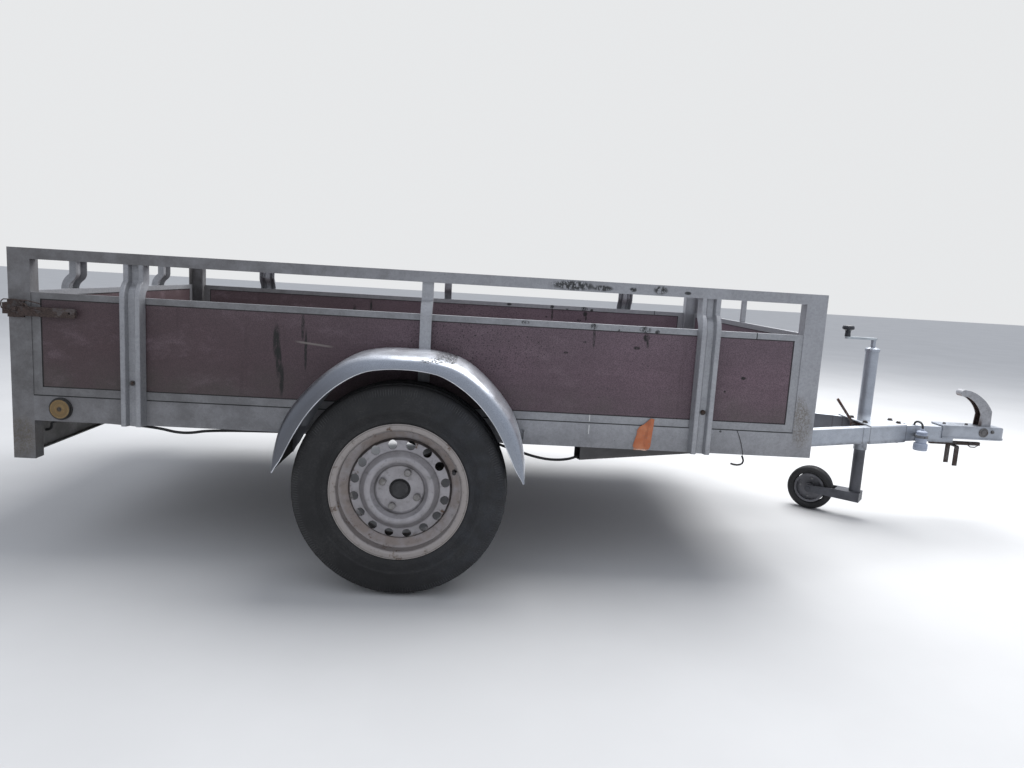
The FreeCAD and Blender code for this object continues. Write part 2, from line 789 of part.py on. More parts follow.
# Hinges: two fixed knuckles and their pin on the rear cross member, one knuckle between them on the tailgate
pin_x = rear - size["hinge_out"]
pin_z = size["frame_deck"] - size["hinge_drop"]
leaf = size["hinge_leaf"]
knuckle = size["hinge_knuckle"]
knuckle_pitch = size["hinge_long"] + size["face_play"]
fixed_arm = [
    (pin_x, pin_z - leaf),
    (rear - 1, pin_z - leaf),
    (rear - 1, size["cross_foot"] + leaf),
    (rear + size["sheet"], size["cross_foot"] + leaf),
    (rear + size["sheet"], pin_z + leaf),
    (pin_x, pin_z + leaf),
]
moving_arm = [
    (pin_x, pin_z + knuckle - leaf),
    (rear, pin_z + knuckle - leaf),
    (rear, gate_foot + size["trim_low"]),
    (rear - leaf, gate_foot + size["trim_low"]),
    (rear - leaf, pin_z + knuckle),
    (pin_x, pin_z + knuckle),
]


def barrel(middle_y, radius, length, bore=None):
    rings = [(pin_x, pin_z, radius)]
    if bore is not None:
        rings.append((pin_x, pin_z, bore))
    return across_y("barrel", [], middle_y, length, rings)


fixed_leaves = []
moving_leaves = []
for way in (-1, 1):
    centre = way * size["hinge_off"]
    pieces = [barrel(centre, size["hinge_pin"], 2 * knuckle_pitch + size["hinge_long"])]
    for step in (-1, 1):
        pieces.append(barrel(centre + step * knuckle_pitch, knuckle, size["hinge_long"]))
        pieces.append(across_y("arm", [fixed_arm], centre + step * knuckle_pitch, size["hinge_long"]))
    fixed_leaves.append(fused("fixed_leaf", pieces))
    eye = across_y("eye", [moving_arm], centre, size["hinge_long"])
    tube = across_y("tube", [], centre, size["hinge_long"], [(pin_x, pin_z, knuckle)])
    joined = fused("leaf_blank", [eye, tube])
    hole = across_y("hole", [], centre, 2 * size["hinge_long"],
                    [(pin_x, pin_z, size["hinge_pin"] + size["pin_play"])])
    bored = doc.addObject("Part::Cut", "Cut")
    bored.Base = joined
    bored.Tool = hole
    moving_leaves.append(bored)
keep(together("hinge_brackets", fixed_leaves))

# Latches: an over-centre lever on each rear post, its hook strip bent round the post's rear edge
LATCH = {
    "low": 669, "high": 716, "base_long": 44, "base_thick": 6, "strip": 4, "hook_out": 14,
    "lever_from": 31, "lever_to": 187, "lever_low": 674, "lever_high": 700, "lever_thick": 10, "catch": 24,
    "lever_round": 6, "hole": 3, "hole_in": 16,
}
latch = {name: as_size(value) for name, value in LATCH.items()}
latch_out = -side - latch["base_thick"]
hook_plan = [
    (rear + latch["base_long"], latch_out),
    (rear - latch["hook_out"], latch_out),
    (rear - latch["hook_out"], -side_inner - size["gate_gap"]),
    (rear - latch["hook_out"] + latch["strip"], -side_inner - size["gate_gap"]),
    (rear - latch["hook_out"] + latch["strip"], latch_out + latch["strip"]),
    (rear + latch["base_long"], latch_out + latch["strip"]),
]
base_plan = box(rear, rear + latch["base_long"], latch_out, -side)
lever_round = latch["lever_round"]
lever_outline = [
    (rear + latch["lever_from"], latch["lever_low"]),
    (rear + latch["lever_to"] - lever_round, latch["lever_low"], lever_round),
    (rear + latch["lever_to"], latch["lever_low"] + lever_round),
    (rear + latch["lever_to"], latch["lever_high"] - lever_round, lever_round),
    (rear + latch["lever_to"] - lever_round, latch["lever_high"]),
    (rear + latch["lever_from"], latch["lever_high"]),
]
lever_hole = (
    rear + latch["lever_to"] - latch["hole_in"], (latch["lever_low"] + latch["lever_high"]) / 2, latch["hole"],
)
both_sides("latches", [fused("latch", [
    upright("hook", [hook_plan], latch["low"] + 8, latch["high"] - latch["low"] - 16),
    upright("base", [base_plan], latch["low"], latch["high"] - latch["low"]),
    across_y(
        "lever", [lever_outline], latch_out - latch["lever_thick"] / 2, latch["lever_thick"], [lever_hole],
    ),
])])
catch = upright(
    "catch",
    [box(rear - latch["hook_out"] + latch["strip"], rear, -gate_side + 1, -gate_side + latch["catch"])],
    latch["low"] + 8,
    latch["high"] - latch["low"] - 16,
)
keep(together("tailgate_hinges", moving_leaves + [catch, mirrored("catch_twin", catch)]))

# Lamp board: a folded plate under the rear cross member, between the posts, with a lamp at each end
board_x = rear + size["board_top_in"]
board_side = side_inner - size["board_gap"]
keep(across_y(
    "lamp_board",
    [[
        (board_x, size["board_foot"]),
        (board_x + size["board_flange"], size["board_foot"]),
        (board_x + size["board_flange"], size["board_foot"] + size["sheet"]),
        (board_x + size["sheet"], size["board_foot"] + size["sheet"]),
        (board_x + size["sheet"], size["cross_foot"]),
        (board_x, size["cross_foot"]),
    ]],
    0,
    2 * board_side,
))


def rounded(low_a, high_a, low_b, high_b, radius):
    """A rectangle with round corners, anticlockwise."""
    return [
        (low_a + radius, low_b),
        (high_a - radius, low_b, radius),
        (high_a, low_b + radius),
        (high_a, high_b - radius, radius),
        (high_a - radius, high_b),
        (low_a + radius, high_b, radius),
        (low_a, high_b - radius),
        (low_a, low_b + radius, radius),
    ]


lamp_foot = size["board_foot"] + 6
lamp_side = 10 - board_side
both_sides("rear_lamps", [along_x(
    "lamp",
    [rounded(lamp_side, lamp_side + size["lamp_long"], lamp_foot, lamp_foot + size["lamp_high"], as_size(12))],
    board_x - size["lamp_deep"],
    size["lamp_deep"],
)])

# Round side reflectors on dark bases, screwed to the side rails
REFLECTOR = {"in": 134, "up": 37, "base": 32, "base_deep": 4, "lens": 29, "lens_deep": 6}
reflector = {name: as_size(value) for name, value in REFLECTOR.items()}
spot = (rear + reflector["in"], size["frame_foot"] + reflector["up"])
base_y = -side - reflector["base_deep"] / 2
lens_y = -side - reflector["base_deep"] - reflector["lens_deep"] / 2
both_sides("reflector_bases", [
    across_y("base", [], base_y, reflector["base_deep"], [(*spot, reflector["base"])]),
])
both_sides("side_reflectors", [
    across_y("lens", [], lens_y, reflector["lens_deep"], [(*spot, reflector["lens"])]),
])

# Wheels, drawn on the left side: radius across, and out from the wheel's middle plane
wheel_y = side + size["rim_out"] - size["rim_half"]
steel = size["rim_steel"]
half = size["rim_half"]
flange = size["rim_flange"]
seat = size["bead_seat"]
drop = size["rim_drop"]
seat_end = half - 9
flange_foot = flange - 11
barrel_outline = [
    (flange, half),
    (flange_foot, half, 9),
    (seat - steel, seat_end),
    (seat - steel, size["disc_face"]),
    (drop - steel, size["disc_face"] - 9),
    (drop - steel, -14),
    (seat - steel, -26),
    (seat - steel, -seat_end, 9),
    (flange_foot, -half),
    (flange, -half),
    (flange, steel - half),
    (flange_foot, steel - half, -6),
    (seat, steel - seat_end),
    (seat, -26 + steel / 2),
    (drop, -14 + steel / 2),
    (drop, size["disc_face"] - 9 - steel / 2),
    (seat, size["disc_face"] - steel / 2),
    (seat, seat_end - steel, -6),
    (flange_foot, half - steel),
    (flange, half - steel),
]
face = size["disc_face"]
crest = size["disc_crest"]
hip_out = face + 5
disc_outline = [
    (size["hub_bore"], face - steel),
    (size["disc_seat"] + 1, face - steel),
    (size["crest_near"] + 1, crest - steel, -14),
    (size["crest_far"] - 1, crest - steel),
    (size["disc_hip"] - 1, hip_out - steel),
    (drop - steel - 7, face - steel),
    (drop - 2 * steel, face - 11),
    (drop - 2 * steel, 4),
    (drop - steel, 4),
    (drop - steel, face - 9),
    (drop - steel - 6, face),
    (size["disc_hip"], hip_out),
    (size["crest_far"], crest, 14),
    (size["crest_near"], crest),
    (size["disc_seat"], face),
    (size["hub_bore"], face),
]
left_rim = new_body("rim_left")
add_turn(left_rim, new_sketch(left_rim, "XY_Plane", [barrel_outline]))
add_turn(left_rim, new_sketch(left_rim, "XY_Plane", [disc_outline]))


def cut_ring(body, radius, hole, count, turn):
    """Round holes along Y, evenly spaced on a ring about the wheel's axis, the first one at turn."""
    sketch = new_sketch(body, "XZ_Plane", rings=[(radius * cosine(turn), radius * sine(turn), hole)])
    pocket = add_pocket(body, sketch)
    pattern = body.newObject("PartDesign::PolarPattern", "Pattern")
    pattern.Originals = [pocket]
    pattern.Axis = (sketch, ["N_Axis"])
    pattern.Angle = 360
    bind(pattern, "Occurrences", count)
    body.Tip = pattern


vent_turn = size["bolt_turn"] + as_size(180) / size["vents"]
cut_ring(left_rim, size["vent_ring"], size["vent_hole"], size["vents"], vent_turn)
cut_ring(left_rim, size["bolt_ring"], size["bolt_head"] - 2, size["wheel_bolts"], size["bolt_turn"])
place(left_rim, axle_x, wheel_y, axle_z)
keep(left_rim)
keep(mirrored("rim_right", left_rim))

# Tyre: one carcass, open at the beads
skin = size["tyre_skin"]
radius = size["tyre_radius"]
bead_out = half - steel - 0.4
belly = (flange + radius) / 2 - 8
brow = radius - 16
edge = radius - 6
crown_radius = (size["tread_half"] * size["tread_half"] + 36) / 12
tyre_side = [
    (seat + 0.4, seat_end - steel - 12),
    (seat + 0.4, seat_end - steel - 1),
    (flange_foot + 1, bead_out),
    (flange + 1, bead_out, -80),
    (belly, size["tyre_half"], -60),
    (brow, size["tread_half"] + 9, -22),
]
tyre_inside = [
    (edge - size["tread_thick"] + 6, size["tread_half"] - 12, 45),
    (belly, size["tyre_half"] - skin, 80),
    (flange_foot + 4, bead_out - skin - 2),
]


def flipped(outline):
    """The same run of corners on the other side of the wheel, in the opposite order."""
    result = []
    for index in range(len(outline) - 1, -1, -1):
        corner = outline[index]
        bend = outline[index - 1][2:] if index else ()
        result.append((corner[0], -as_size(corner[1]), *bend))
    return result


tyre_outline = (
    tyre_side
    + [(edge, size["tread_half"], -crown_radius)]
    + [(edge, -size["tread_half"], -22)]
    + flipped(tyre_side)
    + flipped(tyre_inside)
    + tyre_inside
)
left_tyre = new_body("tyre_left")
add_turn(left_tyre, new_sketch(left_tyre, "XY_Plane", [tyre_outline]))
place(left_tyre, axle_x, wheel_y, axle_z)
keep(left_tyre)
keep(mirrored("tyre_right", left_tyre))

# Hub: turned flange behind the disc, spigot and cap in its centre hole, bolts through the disc
HUB = {"flange": 66, "flange_thick": 10, "nose": 24, "nose_out": 6, "body": 31, "inner": 80, "shank": 6.5}
hub = {name: as_size(value) for name, value in HUB.items()}
hub_back = face - steel
bore = size["stub_radius"] + size["pin_play"]
hub_outline = [
    (0, hub_back),
    (0, face + hub["nose_out"]),
    (hub["nose"] - 4, face + hub["nose_out"], -4),
    (hub["nose"], face + hub["nose_out"] - 4),
    (hub["nose"], hub_back),
    (hub["flange"], hub_back),
    (hub["flange"], hub_back - hub["flange_thick"]),
    (hub["body"], hub_back - hub["flange_thick"]),
    (hub["body"], -hub["inner"]),
    (bore, -hub["inner"]),
    (bore, hub_back),
]
left_hub = new_body("hub_left")
add_turn(left_hub, new_sketch(left_hub, "XY_Plane", [hub_outline]))
bolt_outline = [
    (0, hub_back - 1),
    (hub["shank"], hub_back - 1),
    (hub["shank"], face),
    (size["bolt_head"], face),
    (size["bolt_head"], face + 9),
    (size["bolt_head"] - 2, face + 11),
    (0, face + 11),
]
bolts = []
for index in range(int(size["wheel_bolts"].number)):
    bolt = new_body("bolt")
    add_turn(bolt, new_sketch(bolt, "XY_Plane", [bolt_outline]))
    turn = size["bolt_turn"] + as_size(index * 360) / size["wheel_bolts"]
    bolts.append(place(
        bolt,
        axle_x + size["bolt_ring"] * cosine(turn),
        wheel_y,
        axle_z + size["bolt_ring"] * sine(turn),
    ))
place(left_hub, axle_x, wheel_y, axle_z)
left_hub.Label = "hub_blank"
left_hub = keep(fused("hub_left", [left_hub] + bolts))
keep(mirrored("hub_right", left_hub))

# Axle: a square tube across the trailer, a swing arm and stub at each end, and saddles under the side rails
tube_x = axle_x + size["arm_length_x"]
tube_z = axle_z + size["axle_lift"]
tube_half = size["axle_side"] / 2
keep(across_y(
    "axle_beam",
    tube_loops(tube_x - tube_half, tube_z - tube_half, size["axle_side"], size["axle_side"], size["axle_wall"]),
    0,
    2 * (side + size["swing_gap"]),
))
reach = root(size["arm_length_x"] * size["arm_length_x"] + size["axle_lift"] * size["axle_lift"])
lean_x = -size["axle_lift"] / reach
lean_z = size["arm_length_x"] / reach
big = tube_half + 8
small = as_size(25)
swing_outline = [
    (tube_x + big * lean_x, tube_z + big * lean_z),
    (axle_x + small * lean_x, axle_z + small * lean_z, small),
    (axle_x - small * lean_x, axle_z - small * lean_z),
    (tube_x - big * lean_x, tube_z - big * lean_z, big),
]
swing_y = -side - size["swing_gap"] - size["swing_thick"] / 2
stub_from = side + size["swing_gap"] + size["swing_thick"] - 1
stub_to = wheel_y + hub_back - 2
both_sides("swing_arms", [fused("swing_arm", [
    across_y("swing", [swing_outline], swing_y, size["swing_thick"]),
    across_y(
        "stub", [], -(stub_from + stub_to) / 2, stub_to - stub_from, [(axle_x, axle_z, size["stub_radius"])],
    ),
])])
saddle_foot = tube_z + tube_half
ear = as_size(5)
saddle = [
    (tube_x - tube_half - ear, saddle_foot - 30),
    (tube_x - tube_half, saddle_foot - 30),
    (tube_x - tube_half, saddle_foot),
    (tube_x + tube_half, saddle_foot),
    (tube_x + tube_half, saddle_foot - 30),
    (tube_x + tube_half + ear, saddle_foot - 30),
    (tube_x + tube_half + ear, size["frame_foot"]),
    (tube_x - tube_half - ear, size["frame_foot"]),
]
both_sides("axle_saddles", [
    across_y("saddle", [saddle], -side + size["sill_deep"] / 2, size["sill_deep"]),
])

# Mudguards: a rolled sheet round the wheel, flanged inside and rounded over outside, its tips cut to a point
crown = size["guard_crown"]
lip = size["guard_lip"]
guard_sheet = size["guard_sheet"]
bend = size["guard_round"]
near = size["guard_in"]
far = size["guard_out"]
guard_outline = [
    (lip, near),
    (lip, near + guard_sheet),
    (crown - guard_sheet, near + guard_sheet),
    (crown - guard_sheet, far - bend, bend - guard_sheet),
    (crown - bend, far - guard_sheet),
    (lip, far - guard_sheet),
    (lip, far),
    (crown - bend, far, -bend),
    (crown, far - bend),
    (crown, near),
]
left_guard = new_body("mudguard_left")
add_turn(left_guard, new_sketch(left_guard, "XY_Plane", [guard_outline]), 180, backwards=True)
tip = size["guard_tip"]
tip_x = root(lip * lip - tip * tip)
top_x = root(crown * crown - (tip + size["guard_taper"]) * (tip + size["guard_taper"]))
trims = []
for way in (-1, 1):
    outline = [
        (way * crown / 2, -tip),
        (way * crown / 2, tip),
        (way * tip_x, tip),
        (way * top_x, tip + size["guard_taper"]),
        (way * (crown + tip), tip + size["guard_taper"]),
        (way * (crown + tip), -tip),
    ]
    trims.append(outline)
add_pocket(left_guard, new_sketch(left_guard, "XZ_Plane", trims))
place(left_guard, axle_x, side, axle_z)
both_sides("mudguards", [left_guard])

# Mudguard brackets: folded channels between the side rail and the mudguard's inner flange
stay_middle = (lip + crown) / 2
brackets = []
for way in (-1, 1):
    stay_x = axle_x + way * (stay_middle * cosine(size["stay_angle"]))
    stay_z = axle_z + stay_middle * sine(size["stay_angle"])
    half_stay = size["stay_wide"] / 2
    plan = plain_channel(side, near, stay_x - half_stay, stay_x + half_stay, size["sheet"], 1)
    plan = [(across, along) for along, across in plan]
    brackets.append(upright("bracket", [plan], stay_z - size["stay_high"] / 2, size["stay_high"]))
both_sides("mudguard_brackets", brackets)

# Drawbar: two rectangular tubes that run in from under the frame and lie side by side at the nose
nose_ahead = reach_nose - size["nose_back"]
bend_ahead = nose_ahead - size["bend_back"]
arm_run = bend_ahead - size["arm_rear"]
arm_in = side - size["arm_rear_in"] - size["arm_wide"]
arm_slope = root(arm_run * arm_run + arm_in * arm_in)
arm_sine = arm_in / arm_slope
arm_cosine = arm_run / arm_slope
arm_half_tangent = arm_sine / (1 + arm_cosine)


def arm_line(inset, over):
    """One face of the right-hand tube in plan, inset from its outer face and run past both ends by over."""
    rear_end = (
        axle_x + size["arm_rear"] - inset * arm_sine - over * arm_cosine,
        -side + size["arm_rear_in"] + inset * arm_cosine - over * arm_sine,
    )
    corner = (axle_x + bend_ahead - inset * arm_half_tangent, inset - size["arm_wide"])
    return [rear_end, corner, (axle_x + nose_ahead + over, inset - size["arm_wide"])]


wall = size["arm_wall"]
right_arm = new_body("drawbar_arm")
arm_plan = arm_line(0, 0) + arm_line(size["arm_wide"], 0)[::-1]
past = as_size(10)
bore_plan = arm_line(wall, past) + arm_line(size["arm_wide"] - wall, past)[::-1]
add_pad(right_arm, new_sketch(right_arm, "XY_Plane", [arm_plan]), size["arm_high"], centred=True)
add_pocket(right_arm, new_sketch(right_arm, "XY_Plane", [bore_plan]), size["arm_high"] - 2 * wall)
place(right_arm, up=size["cross_foot"] - size["arm_high"] / 2)
left_arm = mirrored("left_arm", right_arm)
right_arm.Label = "right_arm"
hole_x = axle_x + bend_ahead + size["hole_front"]
hole_y = -size["arm_wide"] / 2
cable_hole = upright(
    "cable_hole", [], size["cross_foot"] - 2 * wall, 3 * wall, [(hole_x, hole_y, size["cable_hole"])],
)
drilled_arm = doc.addObject("Part::Cut", "Cut")
drilled_arm.Base = right_arm
drilled_arm.Tool = cable_hole
keep(together("drawbar_arms", [drilled_arm, left_arm]))

# Plates above and below the drawbar tubes, with a hole for the jockey's tube
leg_ahead = bend_ahead - size["leg_back"]
leg_x = axle_x + leg_ahead
plate_rear_ahead = leg_ahead - size["plate_back"]
plate_front_ahead = leg_ahead + size["plate_ahead"]
arm_foot = size["cross_foot"] - size["arm_high"]


def arm_outer(ahead):
    """How far out the tube's outer face is, at a distance ahead of the axle."""
    return size["arm_wide"] + (bend_ahead - ahead) * arm_in / arm_run


plate_rear = arm_outer(plate_rear_ahead)
plate_front = arm_outer(plate_front_ahead)
plate_plan = [
    (axle_x + plate_rear_ahead, -plate_rear),
    (axle_x + plate_front_ahead, -plate_front),
    (axle_x + plate_front_ahead, plate_front),
    (axle_x + plate_rear_ahead, plate_rear),
]
tube_hole = (leg_x, 0, size["jockey_outer"] + size["pin_play"])
keep(together("drawbar_plates", [
    upright("top_plate", [plate_plan], size["cross_foot"], size["plate_thick"], [tube_hole]),
    upright("foot_plate", [plate_plan], arm_foot - size["plate_thick"], size["plate_thick"], [tube_hole]),
]))

# Coupling head: a pressed hood over the tubes' nose with the ball socket inside its round front
ball_x = axle_x + reach_nose - size["ball_back"]
head_half = size["arm_wide"] + size["head_sheet"]
head_back = size["ball_back"] - size["head_long"]
head_high = size["head_top"] - size["head_foot"]


def head_plan(inset, over):
    half_width = head_half - inset
    turn_x = size["ball_back"] - head_half
    return [
        (head_back - over, -half_width),
        (turn_x, -half_width, half_width),
        (turn_x, half_width),
        (head_back - over, half_width),
    ]


head = new_body("coupling_head")
roof = head_high - size["head_sheet"]
ball_up = size["ball_height"] - size["head_foot"]
socket = size["socket_radius"]
nose_x = size["ball_back"]
nose_round = size["head_round"]
hood_in = head_half - size["head_sheet"]
over_nose = [
    (nose_x, head_high - nose_round, nose_round),
    (nose_x - nose_round, head_high),
    (nose_x - nose_round, head_high + past),
    (nose_x + past, head_high + past),
    (nose_x + past, head_high - nose_round),
]
add_pad(head, new_sketch(head, "XY_Plane", [head_plan(0, 0)]), head_high)
add_pad(head, new_sketch(head, "XY_Plane", [head_plan(-size["head_lip"], 0)]), size["head_lip_high"])
add_pocket(head, new_sketch(head, "XZ_Plane", [over_nose]), 4 * head_half)
add_pocket(head, new_sketch(head, "XY_Plane", [box(head_back - past, as_size(0), -hood_in, hood_in)]), 2 * roof)
add_pad(head, new_sketch(head, "XY_Plane", rings=[(0, 0, socket + size["socket_wall"])]), roof + 1)
add_pocket(head, new_sketch(head, "XY_Plane", rings=[(0, 0, socket)]), 2 * ball_up)
groove = head.newObject("PartDesign::Groove", "Groove")
groove.Profile = new_sketch(
    head, "XZ_Plane", [[(0, ball_up), (socket, ball_up, socket), (0, ball_up + socket)]],
)
groove.ReferenceAxis = (groove.Profile[0], ["V_Axis"])
groove.Angle = 360
head.Tip = groove
place(head, across=ball_x, up=size["head_foot"])
keep(head)

# Coupling handle: a pressed channel, open to the rear, that rises from the head and sweeps back to its tip
HANDLE = {
    # back from the coupling's nose, and up from its top
    "base_rear": 105, "base_front": 57,
    "outer_low": 59, "outer_low_up": 59, "outer_high": 155, "outer_high_up": 135, "outer_round": 165,
    "tip_top": 177, "tip_top_up": 138, "tip_rear": 185, "tip_rear_up": 113, "tip_round": 14,
    "inner_high": 163, "inner_high_up": 111, "inner_low": 102, "inner_low_up": 45, "inner_round": 103,
    "wide": 36, "skin": 4,
}
lever = {name: as_size(value) for name, value in HANDLE.items()}
skin = lever["skin"]
nose_end = axle_x + reach_nose
head_top = size["head_top"]
handle_outline = [
    (nose_end - lever["base_rear"], head_top),
    (nose_end - lever["base_front"], head_top),
    (nose_end - lever["outer_low"], head_top + lever["outer_low_up"], lever["outer_round"]),
    (nose_end - lever["outer_high"], head_top + lever["outer_high_up"]),
    (nose_end - lever["tip_top"], head_top + lever["tip_top_up"], lever["tip_round"]),
    (nose_end - lever["tip_rear"], head_top + lever["tip_rear_up"]),
    (nose_end - lever["inner_high"], head_top + lever["inner_high_up"], -lever["inner_round"]),
    (nose_end - lever["inner_low"], head_top + lever["inner_low_up"]),
]
handle_hollow = [
    (nose_end - lever["base_rear"] - skin, head_top - 1),
    (nose_end - lever["base_front"] - skin, head_top - 1),
    (
        nose_end - lever["outer_low"] - skin, head_top + lever["outer_low_up"] - skin / 2,
        lever["outer_round"] - skin,
    ),
    (nose_end - lever["outer_high"] - skin / 2, head_top + lever["outer_high_up"] - skin),
    (nose_end - lever["tip_top"] + skin, head_top + lever["tip_top_up"] - skin),
    (nose_end - lever["tip_rear"] + 2 * skin, head_top + lever["tip_rear_up"]),
    (nose_end - lever["tip_rear"] + 2 * skin, head_top + lever["inner_low_up"]),
    (nose_end - lever["base_rear"] - skin, head_top + lever["inner_low_up"]),
]
handle = new_body("coupling_handle")
add_pad(handle, new_sketch(handle, "XZ_Plane", [handle_outline]), lever["wide"], centred=True)
add_pocket(handle, new_sketch(handle, "XZ_Plane", [handle_hollow]), lever["wide"] - 2 * skin)
keep(handle)

# Bar under the tubes' nose, and the bent flat bar that hangs from it
NOSE = {
    # bar and loop back from the coupling's nose
    "bar_rear": 280, "bar_front": 80, "bar_foot": 312, "bar_half": 7, "loop_rear": 194, "loop_front": 177,
    "loop_half": 30, "loop_foot": 233, "loop_thick": 5, "loop_turn": 8,
}
nose_size = {name: as_size(value) for name, value in NOSE.items()}
bar_half = nose_size["bar_half"]
bar_plan = box(nose_end - nose_size["bar_rear"], nose_end - nose_size["bar_front"], -bar_half, bar_half)
loop_out = nose_size["loop_half"]
loop_in = loop_out - nose_size["loop_thick"]
loop_top = nose_size["bar_foot"]
loop_turn = nose_size["loop_turn"]
loop_long = nose_size["loop_rear"] - nose_size["loop_front"]
loop_outline = [
    (-loop_out, nose_size["loop_foot"]),
    (-loop_in, nose_size["loop_foot"]),
    (-loop_in, loop_top - nose_size["loop_thick"]),
    (loop_in, loop_top - nose_size["loop_thick"]),
    (loop_in, nose_size["loop_foot"]),
    (loop_out, nose_size["loop_foot"]),
    (loop_out, loop_top - loop_turn, loop_turn),
    (loop_out - loop_turn, loop_top),
    (loop_turn - loop_out, loop_top, loop_turn),
    (-loop_out, loop_top - loop_turn),
]
keep(together("nose_bracket", [
    upright("bar", [bar_plan], nose_size["bar_foot"], arm_foot - nose_size["bar_foot"]),
    along_x("loop", [loop_outline], nose_end - nose_size["loop_rear"], loop_long),
]))

# Plug in its holder on the right-hand tube; its cable runs through the tube and under the frame to the lamps
PLUG = {
    # ahead of the drawbar's bend, out from the middle, then up from the ground
    "ahead": 10, "out": 66, "foot": 296, "skirt_top": 327, "shoulder": 368, "gland": 373, "top": 379,
    "skirt": 25, "skirt_edge": 2, "body": 19.5, "gland_radius": 8,
    "ring": 23, "ring_foot": 344, "ring_high": 10, "tab_long": 20,
}
plug_size = {name: as_size(value) for name, value in PLUG.items()}
bend_x = axle_x + bend_ahead
plug_x = bend_x + plug_size["ahead"]
plug_y = -plug_size["out"]
plug_outline = [
    (0, plug_size["foot"]),
    (plug_size["skirt"] - plug_size["skirt_edge"], plug_size["foot"]),
    (plug_size["skirt"], plug_size["foot"] + plug_size["skirt_edge"]),
    (plug_size["skirt"], plug_size["skirt_top"]),
    (plug_size["body"], plug_size["skirt_top"]),
    (plug_size["body"], plug_size["shoulder"]),
    (plug_size["gland_radius"], plug_size["gland"]),
    (plug_size["gland_radius"], plug_size["top"]),
    (0, plug_size["top"]),
]
plug = new_body("plug")
add_turn(plug, new_sketch(plug, "XZ_Plane", [plug_outline]))
keep(place(plug, plug_x, plug_y))
holder_tab = box(
    bend_x, bend_x + plug_size["tab_long"], plug_y + plug_size["body"] + 1, -size["arm_wide"],
)
keep(fused("plug_holder", [
    upright(
        "ring", [], plug_size["ring_foot"], plug_size["ring_high"],
        [(plug_x, plug_y, plug_size["ring"]), (plug_x, plug_y, plug_size["body"] + size["pin_play"])],
    ),
    upright("tab", [holder_tab], plug_size["ring_foot"], plug_size["ring_high"]),
]))
LOOM = (
    # ahead of the axle, in from the side face, up
    (525, 85.1, 342),
    (480, 67, 322),
    (400, 54, 322),
    (300, 48, 352),
    (215, 48, 380),
    (100, 48, 380),
    (20, 48, 374),
    (-560, 30, 372),
    (-648, 20, 354),
    (-735, 20, 374),
    (-1040, 60, 376),
    (-1062, 100, 330),
    (-1080, 100, 330),
)
loom_radius = 4
loom_bend = 14
loom_over = size["cross_foot"] + loom_bend + 2


def bent_wire(points, bend_radius):
    """Straight runs through the points, joined by arcs that meet them in line."""
    corners = [FreeCAD.Vector(*point) for point in points]
    edges = []
    start = corners[0]
    for before, corner, after in zip(corners, corners[1:], corners[2:]):
        back = (before - corner).normalize()
        ahead = (after - corner).normalize()
        half_turn = math.acos(max(-1, min(1, back.dot(ahead)))) / 2
        cut = bend_radius / math.tan(half_turn)
        first = corner + back * cut
        last = corner + ahead * cut
        inward = (back + ahead).normalize()
        centre = corner + inward * (bend_radius / math.sin(half_turn))
        halfway = centre - inward * bend_radius
        edges.append(Part.LineSegment(start, first).toShape())
        edges.append(Part.Arc(first, halfway, last).toShape())
        start = last
    edges.append(Part.LineSegment(start, corners[-1]).toShape())
    return Part.Wire(edges)


loom_points = [
    (plug_x.number, plug_y.number, plug_size["top"].number),
    (plug_x.number, plug_y.number, loom_over.number),
    (hole_x.number, hole_y.number, loom_over.number),
    (hole_x.number, hole_y.number, size["cross_foot"].number - size["arm_high"].number / 2),
] + [(axle_x.number + ahead, inward - side.number, up) for ahead, inward, up in LOOM]
loom_path = bent_wire(loom_points, loom_bend)
print("loom radius", loom_radius, "bend radius", loom_bend)
first_point = FreeCAD.Vector(*loom_points[0])
loom_section = Part.Wire(Part.Circle(first_point, FreeCAD.Vector(0, 0, 1), loom_radius).toShape())
loom = doc.addObject("Part::Feature", "Loom")
loom.Shape = loom_path.makePipeShell([loom_section], True, False)
loom.Label = "wiring_loom"
keep(loom)

# Jockey: the fixed outer tube with its clamp, spindle and crank
jockey_outer = size["jockey_outer"]
bore = size["jockey_bore"]
CAP = {"high": 10, "over": 3, "cone": 6, "spindle": 9}
cap = {name: as_size(value) for name, value in CAP.items()}
cap_top = size["jockey_top"] + cap["high"]
crank_low = size["jockey_top"] + size["crank_rise"]
tube_outline = [
    (bore, size["jockey_foot"]),
    (jockey_outer, size["jockey_foot"]),
    (jockey_outer, size["jockey_top"]),
    (jockey_outer + cap["over"], size["jockey_top"]),
    (jockey_outer + cap["over"], cap_top),
    (cap["spindle"] + cap["cone"], cap_top + cap["cone"]),
    (cap["spindle"], cap_top + cap["cone"]),
    (cap["spindle"], crank_low),
    (0, crank_low),
    (0, size["jockey_top"]),
    (bore, size["jockey_top"]),
]
tube = new_body("jockey_tube")
add_turn(tube, new_sketch(tube, "XZ_Plane", [tube_outline]))
keep(place(tube, across=leg_x))
CLAMP = {
    "wall": 7, "lug_long": 14, "lug_half": 12, "lug_high": 42, "lug_sunk": 2,
    "rod": 5, "rod_long": 122, "rod_in": 8, "rod_up": 46, "rod_lean": 38,
}
clamp_size = {name: as_size(value) for name, value in CLAMP.items()}
clamp_radius = jockey_outer + clamp_size["wall"]
lug_x = leg_x - clamp_radius - clamp_size["lug_long"]
lug_half = clamp_size["lug_half"]
lug_high = clamp_size["lug_high"]
lug_plan = box(lug_x, leg_x - jockey_outer - clamp_size["lug_sunk"], -lug_half, lug_half)
clamp_ring = upright(
    "ring", [], arm_foot, size["arm_high"],
    [(leg_x, 0, clamp_radius), (leg_x, 0, jockey_outer + size["pin_play"])],
)
lug = upright("lug", [lug_plan], arm_foot + (size["arm_high"] - lug_high) / 2, lug_high)
